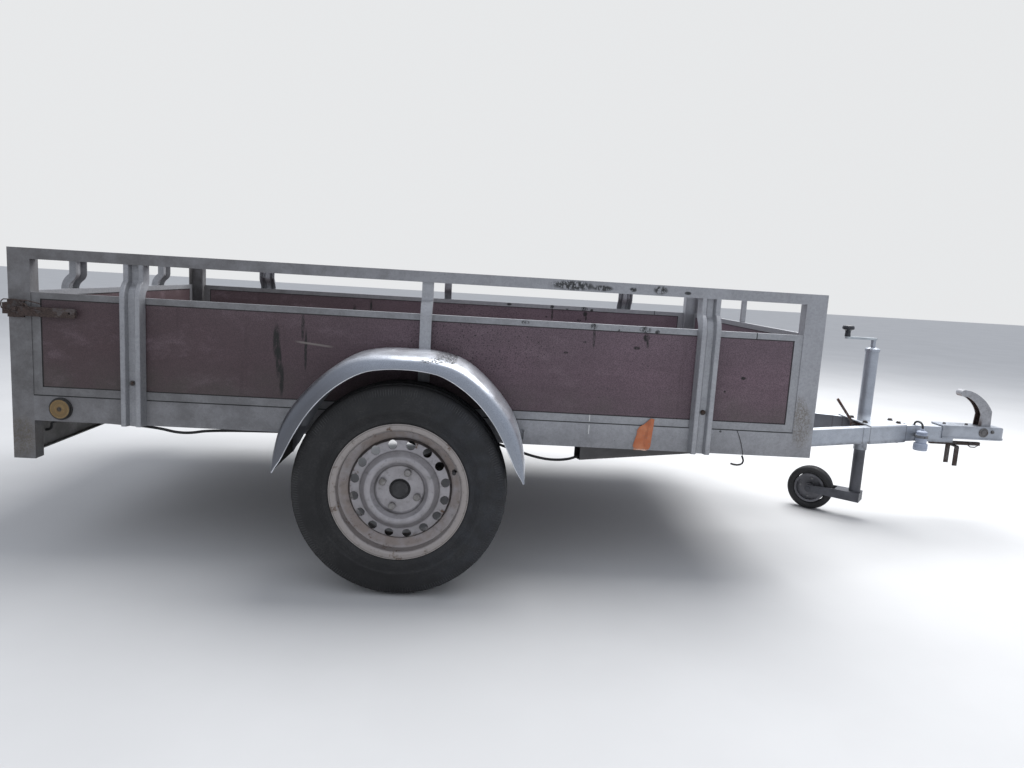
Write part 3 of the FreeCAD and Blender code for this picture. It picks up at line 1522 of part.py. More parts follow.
rod = upright("rod", [], as_size(0), clamp_size["rod_long"], [(as_size(0), as_size(0), clamp_size["rod"])])
rod.Placement = FreeCAD.Placement(
    FreeCAD.Vector(), FreeCAD.Rotation(FreeCAD.Vector(0, 1, 0), -clamp_size["rod_lean"].number),
)
place(rod, lug_x + clamp_size["rod_in"], 0, arm_foot + clamp_size["rod_up"])
keep(fused("jockey_clamp", [clamp_ring, lug, rod]))
CRANK = {"boss": 12, "half": 9, "thick": 8}
crank_size = {name: as_size(value) for name, value in CRANK.items()}
crank_half = crank_size["half"]
crank_plan = [
    (leg_x, -crank_size["boss"], crank_size["boss"]),
    (leg_x, crank_size["boss"]),
    (leg_x - size["crank_long"], crank_half, crank_half),
    (leg_x - size["crank_long"], -crank_half),
]
keep(upright("jockey_crank", [crank_plan], crank_low, crank_size["thick"]))
KNOB = {"radius": 22, "neck": 13, "neck_high": 10, "high": 44, "skirt": 20, "side": 6, "crown": 24, "flat": 6}
knob_size = {name: as_size(value) for name, value in KNOB.items()}
knob_foot = crank_low + crank_size["thick"]
knob_outline = [
    (0, knob_foot),
    (knob_size["neck"], knob_foot),
    (knob_size["neck"], knob_foot + knob_size["neck_high"]),
    (knob_size["radius"], knob_foot + knob_size["skirt"]),
    (knob_size["radius"], knob_foot + knob_size["skirt"] + knob_size["side"], knob_size["crown"]),
    (knob_size["flat"], knob_foot + knob_size["high"]),
    (0, knob_foot + knob_size["high"]),
]
knob = new_body("jockey_knob")
add_turn(knob, new_sketch(knob, "XZ_Plane", [knob_outline]))
keep(place(knob, across=leg_x - size["crank_long"]))

# Jockey leg: a tube that runs in the outer tube, with the swivel pin and its nut at the foot
play = size["pin_play"]
leg_radius = bore - play
fork_top = size["leg_foot"] - size["face_play"]
fork_foot = fork_top - size["fork_high"]
nut_top = fork_top - size["fork_thick"] - size["face_play"]
nut_foot = nut_top - size["swivel_nut_high"]
leg_outline = [
    (0, size["swivel_foot"]),
    (size["swivel_pin"], size["swivel_foot"]),
    (size["swivel_pin"], nut_foot),
    (size["swivel_nut"], nut_foot),
    (size["swivel_nut"], nut_top),
    (size["swivel_pin"], nut_top),
    (size["swivel_pin"], size["leg_foot"]),
    (leg_radius, size["leg_foot"]),
    (leg_radius, size["leg_top"]),
    (leg_radius - size["leg_wall"], size["leg_top"]),
    (leg_radius - size["leg_wall"], size["leg_foot"] + size["leg_base"]),
    (0, size["leg_foot"] + size["leg_base"]),
]
leg = new_body("jockey_leg")
add_turn(leg, new_sketch(leg, "XZ_Plane", [leg_outline]))
keep(place(leg, across=leg_x))

# Jockey fork: a channel, its web on the swivel pin and its flanges running on to the wheel's axle
trail = size["jockey_trail"]
wheel_up = size["jockey_radius"]
fork_half = size["jockey_half"] + size["fork_gap"] + size["fork_thick"]
fork_nose = size["fork_nose"]
fork_back = size["fork_back"]
web_foot = fork_top - size["fork_thick"]
web_end = trail - wheel_up - 2 * size["fork_gap"]
axle_pin = size["fork_pin"]
axle_long = 2 * (fork_half + size["fork_pin_out"])
fork_outline = [
    (-fork_back, fork_foot),
    (trail, wheel_up - fork_nose, fork_nose),
    (trail, wheel_up + fork_nose),
    (web_end, fork_top),
    (-fork_back, fork_top),
]
room = [
    (size["fork_thick"] - fork_back, fork_foot - fork_nose),
    (trail + 2 * fork_nose, fork_foot - fork_nose),
    (trail + 2 * fork_nose, fork_top + fork_nose),
    (web_end, fork_top + fork_nose),
    (web_end, web_foot),
    (size["fork_thick"] - fork_back, web_foot),
]
fork = new_body("jockey_fork")
add_pad(fork, new_sketch(fork, "XZ_Plane", [fork_outline]), 2 * fork_half, centred=True)
add_pocket(fork, new_sketch(fork, "XZ_Plane", [room]), 2 * (fork_half - size["fork_thick"]))
add_pocket(fork, new_sketch(fork, "XY_Plane", rings=[(0, 0, size["swivel_pin"] + play)]))
add_pad(fork, new_sketch(fork, "XZ_Plane", rings=[(trail, wheel_up, axle_pin)]), axle_long, centred=True)
swivel_turn = FreeCAD.Rotation(FreeCAD.Vector(0, 0, 1), size["jockey_turn"].number)
fork.Placement = FreeCAD.Placement(FreeCAD.Vector(), swivel_turn)
keep(place(fork, across=leg_x))

# Jockey wheel: a rubber tyre on a dished disc
JOCKEY_WHEEL = {
    # half widths, radii and edges
    "hub_half": 21, "disc_half": 6, "boss": 20, "rim_deep": 9, "rim_half": 21,
    "bead_up": 5, "bead_in": 3, "shoulder_down": 10, "shoulder_in": 8, "shoulder_round": 14,
}
parts = {name: as_size(value) for name, value in JOCKEY_WHEEL.items()}
rim_out = size["jockey_rim"]
rim_in = rim_out - parts["rim_deep"]
jockey_hub_outline = [
    (axle_pin + play, -parts["hub_half"]),
    (parts["boss"], -parts["hub_half"]),
    (parts["boss"], -parts["disc_half"]),
    (rim_in, -parts["disc_half"]),
    (rim_in, -parts["rim_half"]),
    (rim_out, -parts["rim_half"]),
    (rim_out, parts["rim_half"]),
    (rim_in, parts["rim_half"]),
    (rim_in, parts["disc_half"]),
    (parts["boss"], parts["disc_half"]),
    (parts["boss"], parts["hub_half"]),
    (axle_pin + play, parts["hub_half"]),
]
tread = size["jockey_radius"]
wheel_half = size["jockey_half"]
jockey_tyre_outline = [
    (rim_out, parts["bead_in"] - wheel_half),
    (rim_out + parts["bead_up"], -wheel_half),
    (tread - parts["shoulder_down"], -wheel_half, parts["shoulder_round"]),
    (tread, parts["shoulder_in"] - wheel_half),
    (tread, wheel_half - parts["shoulder_in"], parts["shoulder_round"]),
    (tread - parts["shoulder_down"], wheel_half),
    (rim_out + parts["bead_up"], wheel_half),
    (rim_out, wheel_half - parts["bead_in"]),
]
wheel_place = (
    leg_x + trail * cosine(size["jockey_turn"]),
    trail * sine(size["jockey_turn"]),
    wheel_up,
)
for label, outline in (("jockey_hub", jockey_hub_outline), ("jockey_tyre", jockey_tyre_outline)):
    piece = new_body(label)
    add_turn(piece, new_sketch(piece, "XY_Plane", [outline]))
    piece.Placement = FreeCAD.Placement(FreeCAD.Vector(), swivel_turn)
    keep(place(piece, *wheel_place))

# Check every object, then write one file for each node
doc.recompute()
faulty = [item.Label for item in doc.Objects if "Invalid" in item.State or "Error" in item.State]
broken = [label for label, thing in nodes.items() if thing.Shape.isNull() or not thing.Shape.isValid()]
if faulty or broken:
    raise SystemExit(f"faulty objects {faulty}, broken shapes {broken}")
os.makedirs("parts", exist_ok=True)
for label, thing in nodes.items():
    bounds = thing.Shape.BoundBox
    ends = [bounds.XMin, bounds.XMax, bounds.YMin, bounds.YMax, bounds.ZMin, bounds.ZMax]
    print(label, len(thing.Shape.Solids), round(thing.Shape.Volume), [round(end, 1) for end in ends])
    thing.Shape.exportStep(f"parts/{label}.step")
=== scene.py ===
import math

import bpy
from mathutils import Matrix, Vector


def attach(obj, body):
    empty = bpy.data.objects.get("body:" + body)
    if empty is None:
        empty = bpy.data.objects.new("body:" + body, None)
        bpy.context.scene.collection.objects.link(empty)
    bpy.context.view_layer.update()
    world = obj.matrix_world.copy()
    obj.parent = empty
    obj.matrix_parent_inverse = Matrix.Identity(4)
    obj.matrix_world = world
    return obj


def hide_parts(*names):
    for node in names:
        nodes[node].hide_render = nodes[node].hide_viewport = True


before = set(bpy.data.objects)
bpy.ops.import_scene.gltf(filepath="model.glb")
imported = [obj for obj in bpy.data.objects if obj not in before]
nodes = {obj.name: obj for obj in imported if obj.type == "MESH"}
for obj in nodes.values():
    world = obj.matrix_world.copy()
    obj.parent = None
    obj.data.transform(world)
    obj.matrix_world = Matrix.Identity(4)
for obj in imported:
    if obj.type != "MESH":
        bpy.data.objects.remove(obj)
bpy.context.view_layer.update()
scene = bpy.context.scene
scene.view_settings.view_transform = "Standard"
bpy.ops.object.select_all(action="DESELECT")


# Box frame: folded side rails and cross members, channel posts at the corners and square tube along the top,
# all hot-dip galvanised after welding, now dull and mottled, and darker and browner towards the rear: partly
# road dirt, partly painted shade.
RAIL_TONE = (0.355, 0.362, 0.384)
RAIL_SHADE = (0.228, 0.230, 0.240)
CHANNEL_TONE = (0.330, 0.337, 0.354)
STAKE_LIT_TONE = (0.375, 0.382, 0.402)
UNDER_TONE = (0.075, 0.072, 0.070)
UNDER_SHADE = (0.042, 0.038, 0.036)
ROAD_DIRT_AND_SHADE = (0.070, 0.060, 0.052)
LICHEN = (0.120, 0.095, 0.060)
MOSS_AND_SHADE = (0.010, 0.011, 0.010)
LIME = (0.62, 0.62, 0.61)
DRIP_HALF = 0.0016
EDGE_SOFT = 0.004


def put(kind, settings=None, **sockets):
    """Adds one shader node where its inputs come from; _0, _1 name the inputs by number."""
    tree = next(value.id_data for value in sockets.values() if isinstance(value, bpy.types.NodeSocket))
    node = tree.nodes.new("ShaderNode" + kind)
    for key, value in (settings or {}).items():
        setattr(node, key, value)
    for key, value in sockets.items():
        socket = node.inputs[int(key[1:])] if key[1:].isdigit() else node.inputs[key.replace("_", " ")]
        if isinstance(value, bpy.types.NodeSocket):
            tree.links.new(value, socket)
        elif isinstance(value, tuple) and len(value) == 3 and socket.type == "RGBA":
            socket.default_value = (*value, 1)
        else:
            socket.default_value = value
    return node


def calc(operation, first, second=0.0):
    return put("Math", {"operation": operation}, _0=first, _1=second).outputs[0]


def times(first, second):
    return calc("MULTIPLY", first, second)


def plus(first, second):
    return calc("ADD", first, second)


def minus(first, second):
    return calc("SUBTRACT", first, second)


def step(value, low, high, to_low=0.0, to_high=1.0):
    """A soft step: to_low up to low, to_high from high on."""
    return put(
        "MapRange", {"interpolation_type": "SMOOTHSTEP"},
        Value=value, From_Min=low, From_Max=high, To_Min=to_low, To_Max=to_high,
    ).outputs[0]


def over(share, below, above):
    """Lays one colour over another."""
    return put("Mix", {"data_type": "RGBA"}, _0=share, _6=below, _7=above).outputs[2]


def grain(place, scale, stretch=(1, 1, 1), detail=4.0, rough=0.55):
    """Noise on the object's own place, squeezed along an axis by stretch."""
    mapped = put("Mapping", Vector=place, Scale=stretch).outputs[0]
    return put("TexNoise", Vector=mapped, Scale=scale, Detail=detail, Roughness=rough).outputs[0]


def cells(place, scale, output):
    """Round cells, for spangle, weave and prisms."""
    return put("TexVoronoi", {"feature": "F1"}, Vector=place, Scale=scale).outputs[output]


def new_finish(name, metallic=0.0):
    """An empty material with its place on the object, split into x, y and z."""
    material = bpy.data.materials.new(name)
    material.use_nodes = True
    tree = material.node_tree
    tree.nodes["Principled BSDF"].inputs["Metallic"].default_value = metallic
    place = tree.nodes.new("ShaderNodeTexCoord").outputs["Object"]
    return material, place, put("SeparateXYZ", Vector=place).outputs


def finished(material, colour, rough, height, strength, distance, **more):
    """Gives a material its colour, its roughness, its fine relief and more."""
    inputs = material.node_tree.nodes["Principled BSDF"].inputs
    relief = put("Bump", Strength=strength, Distance=distance, Height=height).outputs[0]
    for key, value in {"Base_Color": colour, "Roughness": rough, "Normal": relief, **more}.items():
        socket = inputs[key.replace("_", " ")]
        if isinstance(value, bpy.types.NodeSocket):
            material.node_tree.links.new(value, socket)
        else:
            socket.default_value = value
    return material


def scaled(tone, share):
    return tuple(share * value for value in tone)


def near(split, x, z, half_x, half_z):
    """1 at one place on the side of the trailer, falling to 0 at half_x and half_z from it."""
    across = calc("DIVIDE", minus(split[0], x), half_x)
    up = calc("DIVIDE", minus(split[2], z), half_z)
    return step(plus(times(across, across), times(up, up)), 0.25, 1.0, 1.0, 0.0)


def line_at(value, place, half):
    """1 on a thin line where value is place."""
    return step(calc("ABSOLUTE", minus(value, place)), half, 0.5 * half)


def galvanised(
    name, tone=RAIL_TONE, shade=RAIL_SHADE, gloss=0.5, dirt_and_shade=1.0, stains=(), lichen=(), seam_shadows=(), drips=(),
):
    """Weathered zinc: faint mottling, spangle and runs, brown dirt with painted shade at the rear, painted
    shadow lines with dirt along seams, lichen and moss in places.
    """
    material, place, split = new_finish(name, 0.55)
    mottle = step(grain(place, 9, detail=6, rough=0.62), 0.32, 0.68)
    runs = step(grain(place, 60, (1, 1, 0.07), 5, 0.6), 0.38, 0.75)
    flecks = put("SeparateColor", Color=cells(place, 170, "Color")).outputs[0]
    colour = over(times(mottle, 0.30), tone, shade)
    colour = over(step(grain(place, 420, detail=2), 0.35, 0.65, 0.0, 0.30), colour, shade)
    colour = over(times(runs, 0.22), colour, shade)
    colour = over(step(flecks, 0.0, 1.0, 0.0, 0.16), colour, scaled(tone, 1.5))
    # soil: browner towards the rear, road dirt with painted shade, and towards the bottom
    rear = step(split[0], 0.30, -1.65, 0.03, 0.70)
    low = step(split[2], 0.55, 0.26, 0.0, 0.55)
    patchy = step(grain(place, 18, detail=5, rough=0.7), 0.25, 0.75, 0.78, 1.0)
    soil_and_shade = times(times(patchy, dirt_and_shade), calc("MAXIMUM", rear, low))
    colour = over(soil_and_shade, colour, ROAD_DIRT_AND_SHADE)
    specks = step(grain(place, 240, detail=3), 0.70, 0.76)
    colour = over(times(specks, 0.45 * dirt_and_shade), colour, MOSS_AND_SHADE)
    crust = step(grain(place, 210, detail=5, rough=0.7), 0.42, 0.62, 0.10, 0.55)
    for spot in lichen:
        colour = over(times(near(split, *spot), crust), colour, LICHEN)
    blots = step(grain(place, 100, (1, 1, 0.6), 5, 0.7), 0.42, 0.52, 0.0, 0.88)
    for spot in stains:
        colour = over(times(near(split, *spot), blots), colour, MOSS_AND_SHADE)
    # painted shadow with dirt along the seams between rail and channel
    for axis, at, half, foot in seam_shadows:
        seam_shadow = times(line_at(split[axis], at, half), step(split[2], foot, foot + EDGE_SOFT))
        colour = over(times(seam_shadow, 0.85), colour, MOSS_AND_SHADE)
    for x, foot, top in drips:
        above = step(split[2], foot, foot + EDGE_SOFT)
        high = times(above, step(split[2], top, top - EDGE_SOFT))
        colour = over(times(line_at(split[0], x, DRIP_HALF), high), colour, LIME)
    rough = plus(step(mottle, 0.0, 1.0, gloss - 0.07, gloss + 0.10), times(soil_and_shade, 0.22))
    height = plus(grain(place, 95, detail=4), times(flecks, 0.12))
    return finished(material, colour, rough, height, 0.16, 0.0012)


def dress(material, *names):
    """Gives a CAD node its finish."""
    for name in names:
        mesh = nodes[name].data
        mesh.materials.clear()
        mesh.materials.append(material)


def alone(*pieces):
    """Selects these pieces and no others; the first is the one that is worked on."""
    bpy.ops.object.select_all(action="DESELECT")
    for piece in pieces:
        piece.select_set(True)
    bpy.context.view_layer.objects.active = pieces[0]


def settle(piece, name, material, body, slot, *instead):
    """Ends a new piece: its place goes into its mesh, and it gets its name, finish and body; the slot
    argument is not used.
    """
    alone(piece)
    bpy.ops.object.transform_apply(location=True, rotation=True, scale=True)
    bpy.ops.object.shade_smooth_by_angle(angle=math.radians(35))
    piece.name = name
    piece.data.name = name
    if material:
        piece.data.materials.clear()
        piece.data.materials.append(material)
    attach(piece, body)
    if instead:
        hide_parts(*instead)
    piece.select_set(False)
    return piece


def joined(pieces):
    """Several modelled pieces as one mesh."""
    alone(*pieces)
    if len(pieces) > 1:
        bpy.ops.object.join()
    whole = bpy.context.view_layer.objects.active
    whole.select_set(False)
    return whole


def copied(model, places):
    """Copies of one modelled piece as one mesh, at each of the 4x4 places; the model is removed."""
    twins = []
    for place in places:
        twin = model.copy()
        twin.data = model.data.copy()
        twin.data.transform(place @ model.matrix_world)
        twin.matrix_world = Matrix.Identity(4)
        scene.collection.objects.link(twin)
        twins.append(twin)
    bpy.data.objects.remove(model)
    return joined(twins)


# along the trailer, up, half of its length, half of its height
RAIL_STAINS = (
    (-0.105, 0.845, 0.075, 0.016), (-0.02, 0.842, 0.035, 0.010), (0.067, 0.843, 0.013, 0.008),
    (0.146, 0.846, 0.024, 0.014), (0.225, 0.842, 0.012, 0.006),
)
RAIL_LICHEN = ((0.600, 0.47, 0.035, 0.075), (0.585, 0.52, 0.03, 0.05), (-1.64, 0.33, 0.05, 0.07))
SIDE_STAINS = ((0.359, 0.446, 0.005, 0.004),)
CHANNEL_STAINS = (
    (-0.234, 0.733, 0.014, 0.007), (-0.037, 0.733, 0.012, 0.012), (0.033, 0.726, 0.008, 0.004),
    (0.112, 0.731, 0.020, 0.012), (0.147, 0.727, 0.009, 0.007),
)
# axis, place on it, half width, where it starts above the ground; the seam lines are painted shadow with dirt
SIDE_SEAM_SHADOWS = ((2, 0.4515, 0.0016, 0.40),)
CHANNEL_SEAM_SHADOWS = ((2, 0.4515, 0.0022, 0.40), (0, 0.4388, 0.0022, 0.715))
# along the trailer, foot, top
SIDE_DRIPS = ((-0.030, 0.417, 0.448),)
CHANNEL_DRIPS = ((-0.030, 0.454, 0.480),)
frame_zinc = galvanised("frame_zinc", stains=RAIL_STAINS, lichen=RAIL_LICHEN)
side_zinc = galvanised("side_zinc", dirt_and_shade=0.9, stains=SIDE_STAINS, seam_shadows=SIDE_SEAM_SHADOWS, drips=SIDE_DRIPS)
channel_zinc = galvanised(
    "channel_zinc", CHANNEL_TONE, dirt_and_shade=0.9, stains=CHANNEL_STAINS, seam_shadows=CHANNEL_SEAM_SHADOWS, drips=CHANNEL_DRIPS,
)
under_zinc = galvanised("under_zinc", UNDER_TONE, UNDER_SHADE, 0.65)
# stakes and tailgate get a lighter copy of the zinc with less dirt and painted shade: painted light on their
# shaded faces
lit_stake_zinc = galvanised("lit_stake_zinc", STAKE_LIT_TONE, dirt_and_shade=0.30)
dress(frame_zinc, "corner_posts", "top_rails", "hinge_brackets")
dress(lit_stake_zinc, "stakes", "tailgate_stakes", "tailgate_frame", "tailgate_rail")
dress(under_zinc, "cross_members")
dress(side_zinc, "side_rails")
dress(channel_zinc, "panel_channels", "tailgate_hinges")


# Plywood: film-faced panels and floor, a purplish brown film over horizontal veneer, rubbed and stained by
# water, with black smears and moss spots on the side panels and one scratch down to the wood.
FILM = (0.112, 0.073, 0.090)
FILM_WORN = (0.184, 0.124, 0.151)
FILM_GRAIN = (0.040, 0.026, 0.031)
FILM_SKY_SHEEN = (0.165, 0.125, 0.150)
FILM_REAR_SHADE = (0.060, 0.037, 0.036)
FILM_BLOOM = (0.205, 0.150, 0.172)
FILM_PEPPER = (0.030, 0.022, 0.024)
FILM_GRIME = (0.062, 0.060, 0.050)
FILM_RUN = (0.035, 0.022, 0.024)
WOOD = (0.24, 0.215, 0.195)
# axis and place of the painted shadow line, with dirt, where the panel goes into its channels
FILM_EDGE_SHADOWS = ((2, 0.4755), (2, 0.7225), (0, 0.5505), (0, -1.5805))
# along the trailer, up, half of its length, half of its height
SPECKLED = (-0.36, 0.66, 0.30, 0.11)
SPECKLED_THINLY = (-0.05, 0.66, 0.75, 0.20)
SMEARS = (
    (-0.934, 0.640, 0.012, 0.060), (-0.927, 0.585, 0.010, 0.060), (-0.918, 0.530, 0.008, 0.055),
    (-0.861, 0.685, 0.006, 0.045), (-0.852, 0.62, 0.005, 0.07), (-0.034, 0.70, 0.005, 0.035),
    (0.118, 0.708, 0.012, 0.014), (0.1225, 0.689, 0.005, 0.014), (0.092, 0.677, 0.012, 0.006),
    (0.412, 0.606, 0.009, 0.006), (0.361, 0.564, 0.004, 0.004), (-0.060, 0.686, 0.006, 0.004),
    (-0.112, 0.653, 0.008, 0.004),
)
SCRATCH = (-0.828, 0.637, 0.060, 0.05)
SCRATCH_SLOPE = 0.10
SCRATCH_LEVEL = 0.5545


def film_ply(name, marked=True):
    """Film-faced plywood; marked is for the side panels, with their runs, spots, smears and scratch."""
    material, place, split = new_finish(name)
    veneer = step(grain(place, 40, (0.10, 0.10, 1.0), 6, 0.65), 0.30, 0.72)
    patches = step(grain(place, 4.5, detail=5, rough=0.6), 0.34, 0.70)
    weave = cells(place, 420, "Distance")
    colour = over(times(patches, 0.75), FILM, FILM_WORN)
    colour = over(times(veneer, 0.22), colour, FILM_GRAIN)
    # painted sky sheen: the panel gets lighter towards its top
    colour = over(step(split[2], 0.56, 0.74, 0.0, 0.35), colour, FILM_SKY_SHEEN)
    colour = over(step(weave, 0.1, 0.8, 0.0, 0.25), colour, FILM_WORN)
    # painted shade: the panel gets darker towards the rear
    colour = over(step(split[0], 0.15, -1.5, 0.0, 0.75), colour, FILM_REAR_SHADE)
    blooms = step(grain(place, 14, (0.5, 0.5, 1), 6, 0.7), 0.48, 0.72, 0.0, 0.40)
    colour = over(blooms, colour, FILM_BLOOM)
    pepper = step(grain(place, 380, detail=2), 0.40, 0.62, 0.0, 0.42)
    colour = over(pepper, colour, FILM_PEPPER)
    dusty = step(grain(place, 9, detail=5), 0.40, 0.70, 0.1, 0.5)
    grimy = times(step(split[2], 0.60, 0.48), dusty)
    colour = over(grimy, colour, FILM_GRIME)
    # painted shadow line, with dirt, where the panel goes into its channels
    for axis, at in FILM_EDGE_SHADOWS:
        colour = over(times(line_at(split[axis], at, 0.0035), 0.8), colour, MOSS_AND_SHADE)
    if marked:
        runs = step(grain(place, 34, (1, 1, 0.05), 4, 0.6), 0.60, 0.72, 0.0, 0.30)
        colour = over(runs, colour, FILM_RUN)
        thinly = times(near(split, *SPECKLED_THINLY), 0.55)
        zone = calc("MAXIMUM", near(split, *SPECKLED), thinly)
        limit = step(zone, 0.0, 1.0, 0.73, 0.60)
        spots = grain(place, 210, (1.0, 1.0, 1.25), 3)
        dots = step(minus(spots, limit), 0.0, 0.035)
        colour = over(times(dots, 0.75), colour, MOSS_AND_SHADE)
        ragged = step(grain(place, 120, (1, 1, 0.35), 4, 0.8), 0.42, 0.52)
        ragged = step(ragged, 0, 1, 0.45, 1.0)
        for spot in SMEARS:
            smear = times(near(split, *spot), ragged)
            colour = over(times(smear, 0.93), colour, MOSS_AND_SHADE)
        slope = plus(split[2], times(split[0], SCRATCH_SLOPE))
        line = step(calc("ABSOLUTE", minus(slope, SCRATCH_LEVEL)), 0.0042, 0.001)
        bare = times(times(line, 0.75), near(split, *SCRATCH))
        colour = over(times(bare, step(veneer, 0, 1, 0.5, 1.0)), colour, WOOD)
    rough = step(patches, 0, 1, 0.46, 0.66)
    height = plus(times(veneer, 0.6), weave)
    return finished(material, colour, rough, height, 0.25, 0.0012, Specular_IOR_Level=0.35)


dress(film_ply("side_film"), "panels")
dress(film_ply("gate_film", False), "tailgate_panel")
dress(film_ply("floor_film", False), "floor")


# Bolts: zinc-plated hexagon heads on washers, rust-stained, one through the valley of each stake into the
# side rail or the tailgate, and one through each hinge leaf.
BOLT_WIDE = 0.0075
BOLT_HIGH = 0.0055
BOLT_EDGE = 0.0009
WASHER_RADIUS = 0.0095
WASHER_THICK = 0.0018


def rust_on(name, base, amount, rust=(0.105, 0.042, 0.018), metallic=0.6, gloss=0.45):
    """Bare or plated steel with rust that starts in patches; amount is the share that has gone brown."""
    material, place, split = new_finish(name, metallic)
    cloud = grain(place, 38, detail=7, rough=0.7)
    brown = step(cloud, 0.72 - 0.5 * amount, 0.82 - 0.5 * amount)
    fine = step(grain(place, 260, detail=4), 0.3, 0.7)
    bright = over(step(grain(place, 14, detail=4), 0.3, 0.7), base, scaled(base, 0.6))
    colour = over(brown, bright, over(fine, rust, scaled(rust, 0.45)))
    rough = step(brown, 0, 1, gloss, 0.85)
    shine = step(brown, 0, 1, metallic, 0.05)
    return finished(material, colour, rough, plus(cloud, fine), 0.35, 0.001, Metallic=shine)


bolt_steel = rust_on("bolt_steel", (0.15, 0.145, 0.14), 0.50, (0.060, 0.038, 0.028))


def hex_bolt(size=1.0):
    """A bolt head on its washer, at the origin, facing +Z."""
    bpy.ops.mesh.primitive_cylinder_add(
        vertices=24, radius=WASHER_RADIUS * size, depth=WASHER_THICK, location=(0, 0, WASHER_THICK / 2),
    )
    washer = bpy.context.object
    high = BOLT_HIGH * size
    bpy.ops.mesh.primitive_cylinder_add(
        vertices=6, radius=BOLT_WIDE * size, depth=high, location=(0, 0, WASHER_THICK + high / 2),
    )
    head = bpy.context.object
    bevel = head.modifiers.new("edges", "BEVEL")
    bevel.width = BOLT_EDGE
    bevel.segments = 2
    bpy.ops.object.modifier_apply(modifier="edges")
    return joined([washer, head])


def facing(x, y, z, way, spin=0.0):
    """The 4x4 place of a piece modelled facing +Z: at a point, turned to face along way."""
    turn = Vector((0, 0, 1)).rotation_difference(Vector(way)).to_matrix().to_4x4()
    return Matrix.Translation((x, y, z)) @ turn @ Matrix.Rotation(spin, 4, "Z")


STAKE_X = (-1.327, 0.297)
STAKE_VALLEY = 0.671
STAKE_BOLT_UP = 0.5015
# along the trailer, out, up
GATE_BOLTS = (
    (-1.676, -0.325, STAKE_BOLT_UP), (-1.676, 0.325, STAKE_BOLT_UP), (-1.669, -0.52, 0.468),
    (-1.669, 0.52, 0.468),
)
stake_bolts = [
    facing(x, side * STAKE_VALLEY, STAKE_BOLT_UP, (0, side, 0), 0.4 + x) for side in (-1, 1) for x in STAKE_X
]
settle(copied(hex_bolt(0.82), stake_bolts), "stake_bolts", bolt_steel, "chassis", "rusty_steel")
gate_bolts = [facing(x, y, z, (-1, 0, 0), y) for x, y, z in GATE_BOLTS]
settle(copied(hex_bolt(0.85), gate_bolts), "tailgate_bolts", bolt_steel, "tailgate", "rusty_steel")


# Latches: an over-centre lever on each rear post with its hook strip, bare steel gone brown all over, with
# a thin wire loop from the lever's pivot round the tailgate's hook and a pin in the lever's end.
LATCH_PIVOT = (-1.640, 0.676, 0.692)
LATCH_WIRE_RADIUS = 0.0016
LATCH_PIN_RADIUS = 0.0018
# along the trailer, out, up
LATCH_WIRE = (
    (-1.571, 0.6745, 0.7090), (-1.586, 0.6760, 0.7128), (-1.605, 0.6760, 0.7165), (-1.640, 0.6745, 0.7180),
    (-1.672, 0.6700, 0.7172), (-1.682, 0.6640, 0.7120), (-1.685, 0.6620, 0.7020), (-1.682, 0.6640, 0.6930),
    (-1.668, 0.6690, 0.6880), (-1.655, 0.6720, 0.6865),
)
LATCH_PIN = (
    (-1.626, 0.677, 0.7105), (-1.610, 0.678, 0.7070), (-1.596, 0.678, 0.6925), (-1.567, 0.677, 0.6900),
)
latch_rust = rust_on("latch_rust", (0.095, 0.080, 0.078), 0.70, (0.068, 0.045, 0.038), 0.35, 0.6)
dress(latch_rust, "latches")


def rod(points, radius, segments=10, flowing=False):
    """A wire or cable as a tube: straight from point to point, or one flowing line along the points."""
    curve = bpy.data.curves.new("rod", "CURVE")
    curve.dimensions = "3D"
    curve.bevel_depth = radius
    curve.bevel_resolution = segments // 4
    curve.use_fill_caps = True
    line = curve.splines.new("NURBS" if flowing else "POLY")
    line.points.add(len(points) - 1)
    for point, where in zip(line.points, points):
        point.co = (*where, 1)
    if flowing:
        line.order_u = 3
        line.use_endpoint_u = True
        line.resolution_u = 10
    piece = bpy.data.objects.new("rod", curve)
    scene.collection.objects.link(piece)
    alone(piece)
    bpy.ops.object.convert(target="MESH")
    return bpy.context.object


latch_parts = []
for side in (-1, 1):
    x, y, z = LATCH_PIVOT
    latch_parts.append(copied(hex_bolt(0.9), [facing(x, side * y, z, (0, side, 0), 0.4)]))
    for points, radius in ((LATCH_WIRE, LATCH_WIRE_RADIUS), (LATCH_PIN, LATCH_PIN_RADIUS)):
        latch_parts.append(rod([(along, side * out, up) for along, out, up in points], radius))
settle(joined(latch_parts), "latch_wires", latch_rust, "chassis", "rusty_steel")


# Wheels: 13-inch steel wheels, sprayed silver and rusting from the rim inwards, with road tyres worn smooth
# at the shoulders and grey with dust; hub, cap and bolts are dirty dark steel.
AXLE = (-0.552, 0.286)
WHEEL_OUT = 0.824
SIDES = (("left", 1), ("right", -1))
TREAD_PITCH = 72
TREAD_FROM = 0.2775
TREAD_RIB_FROM = 0.2803
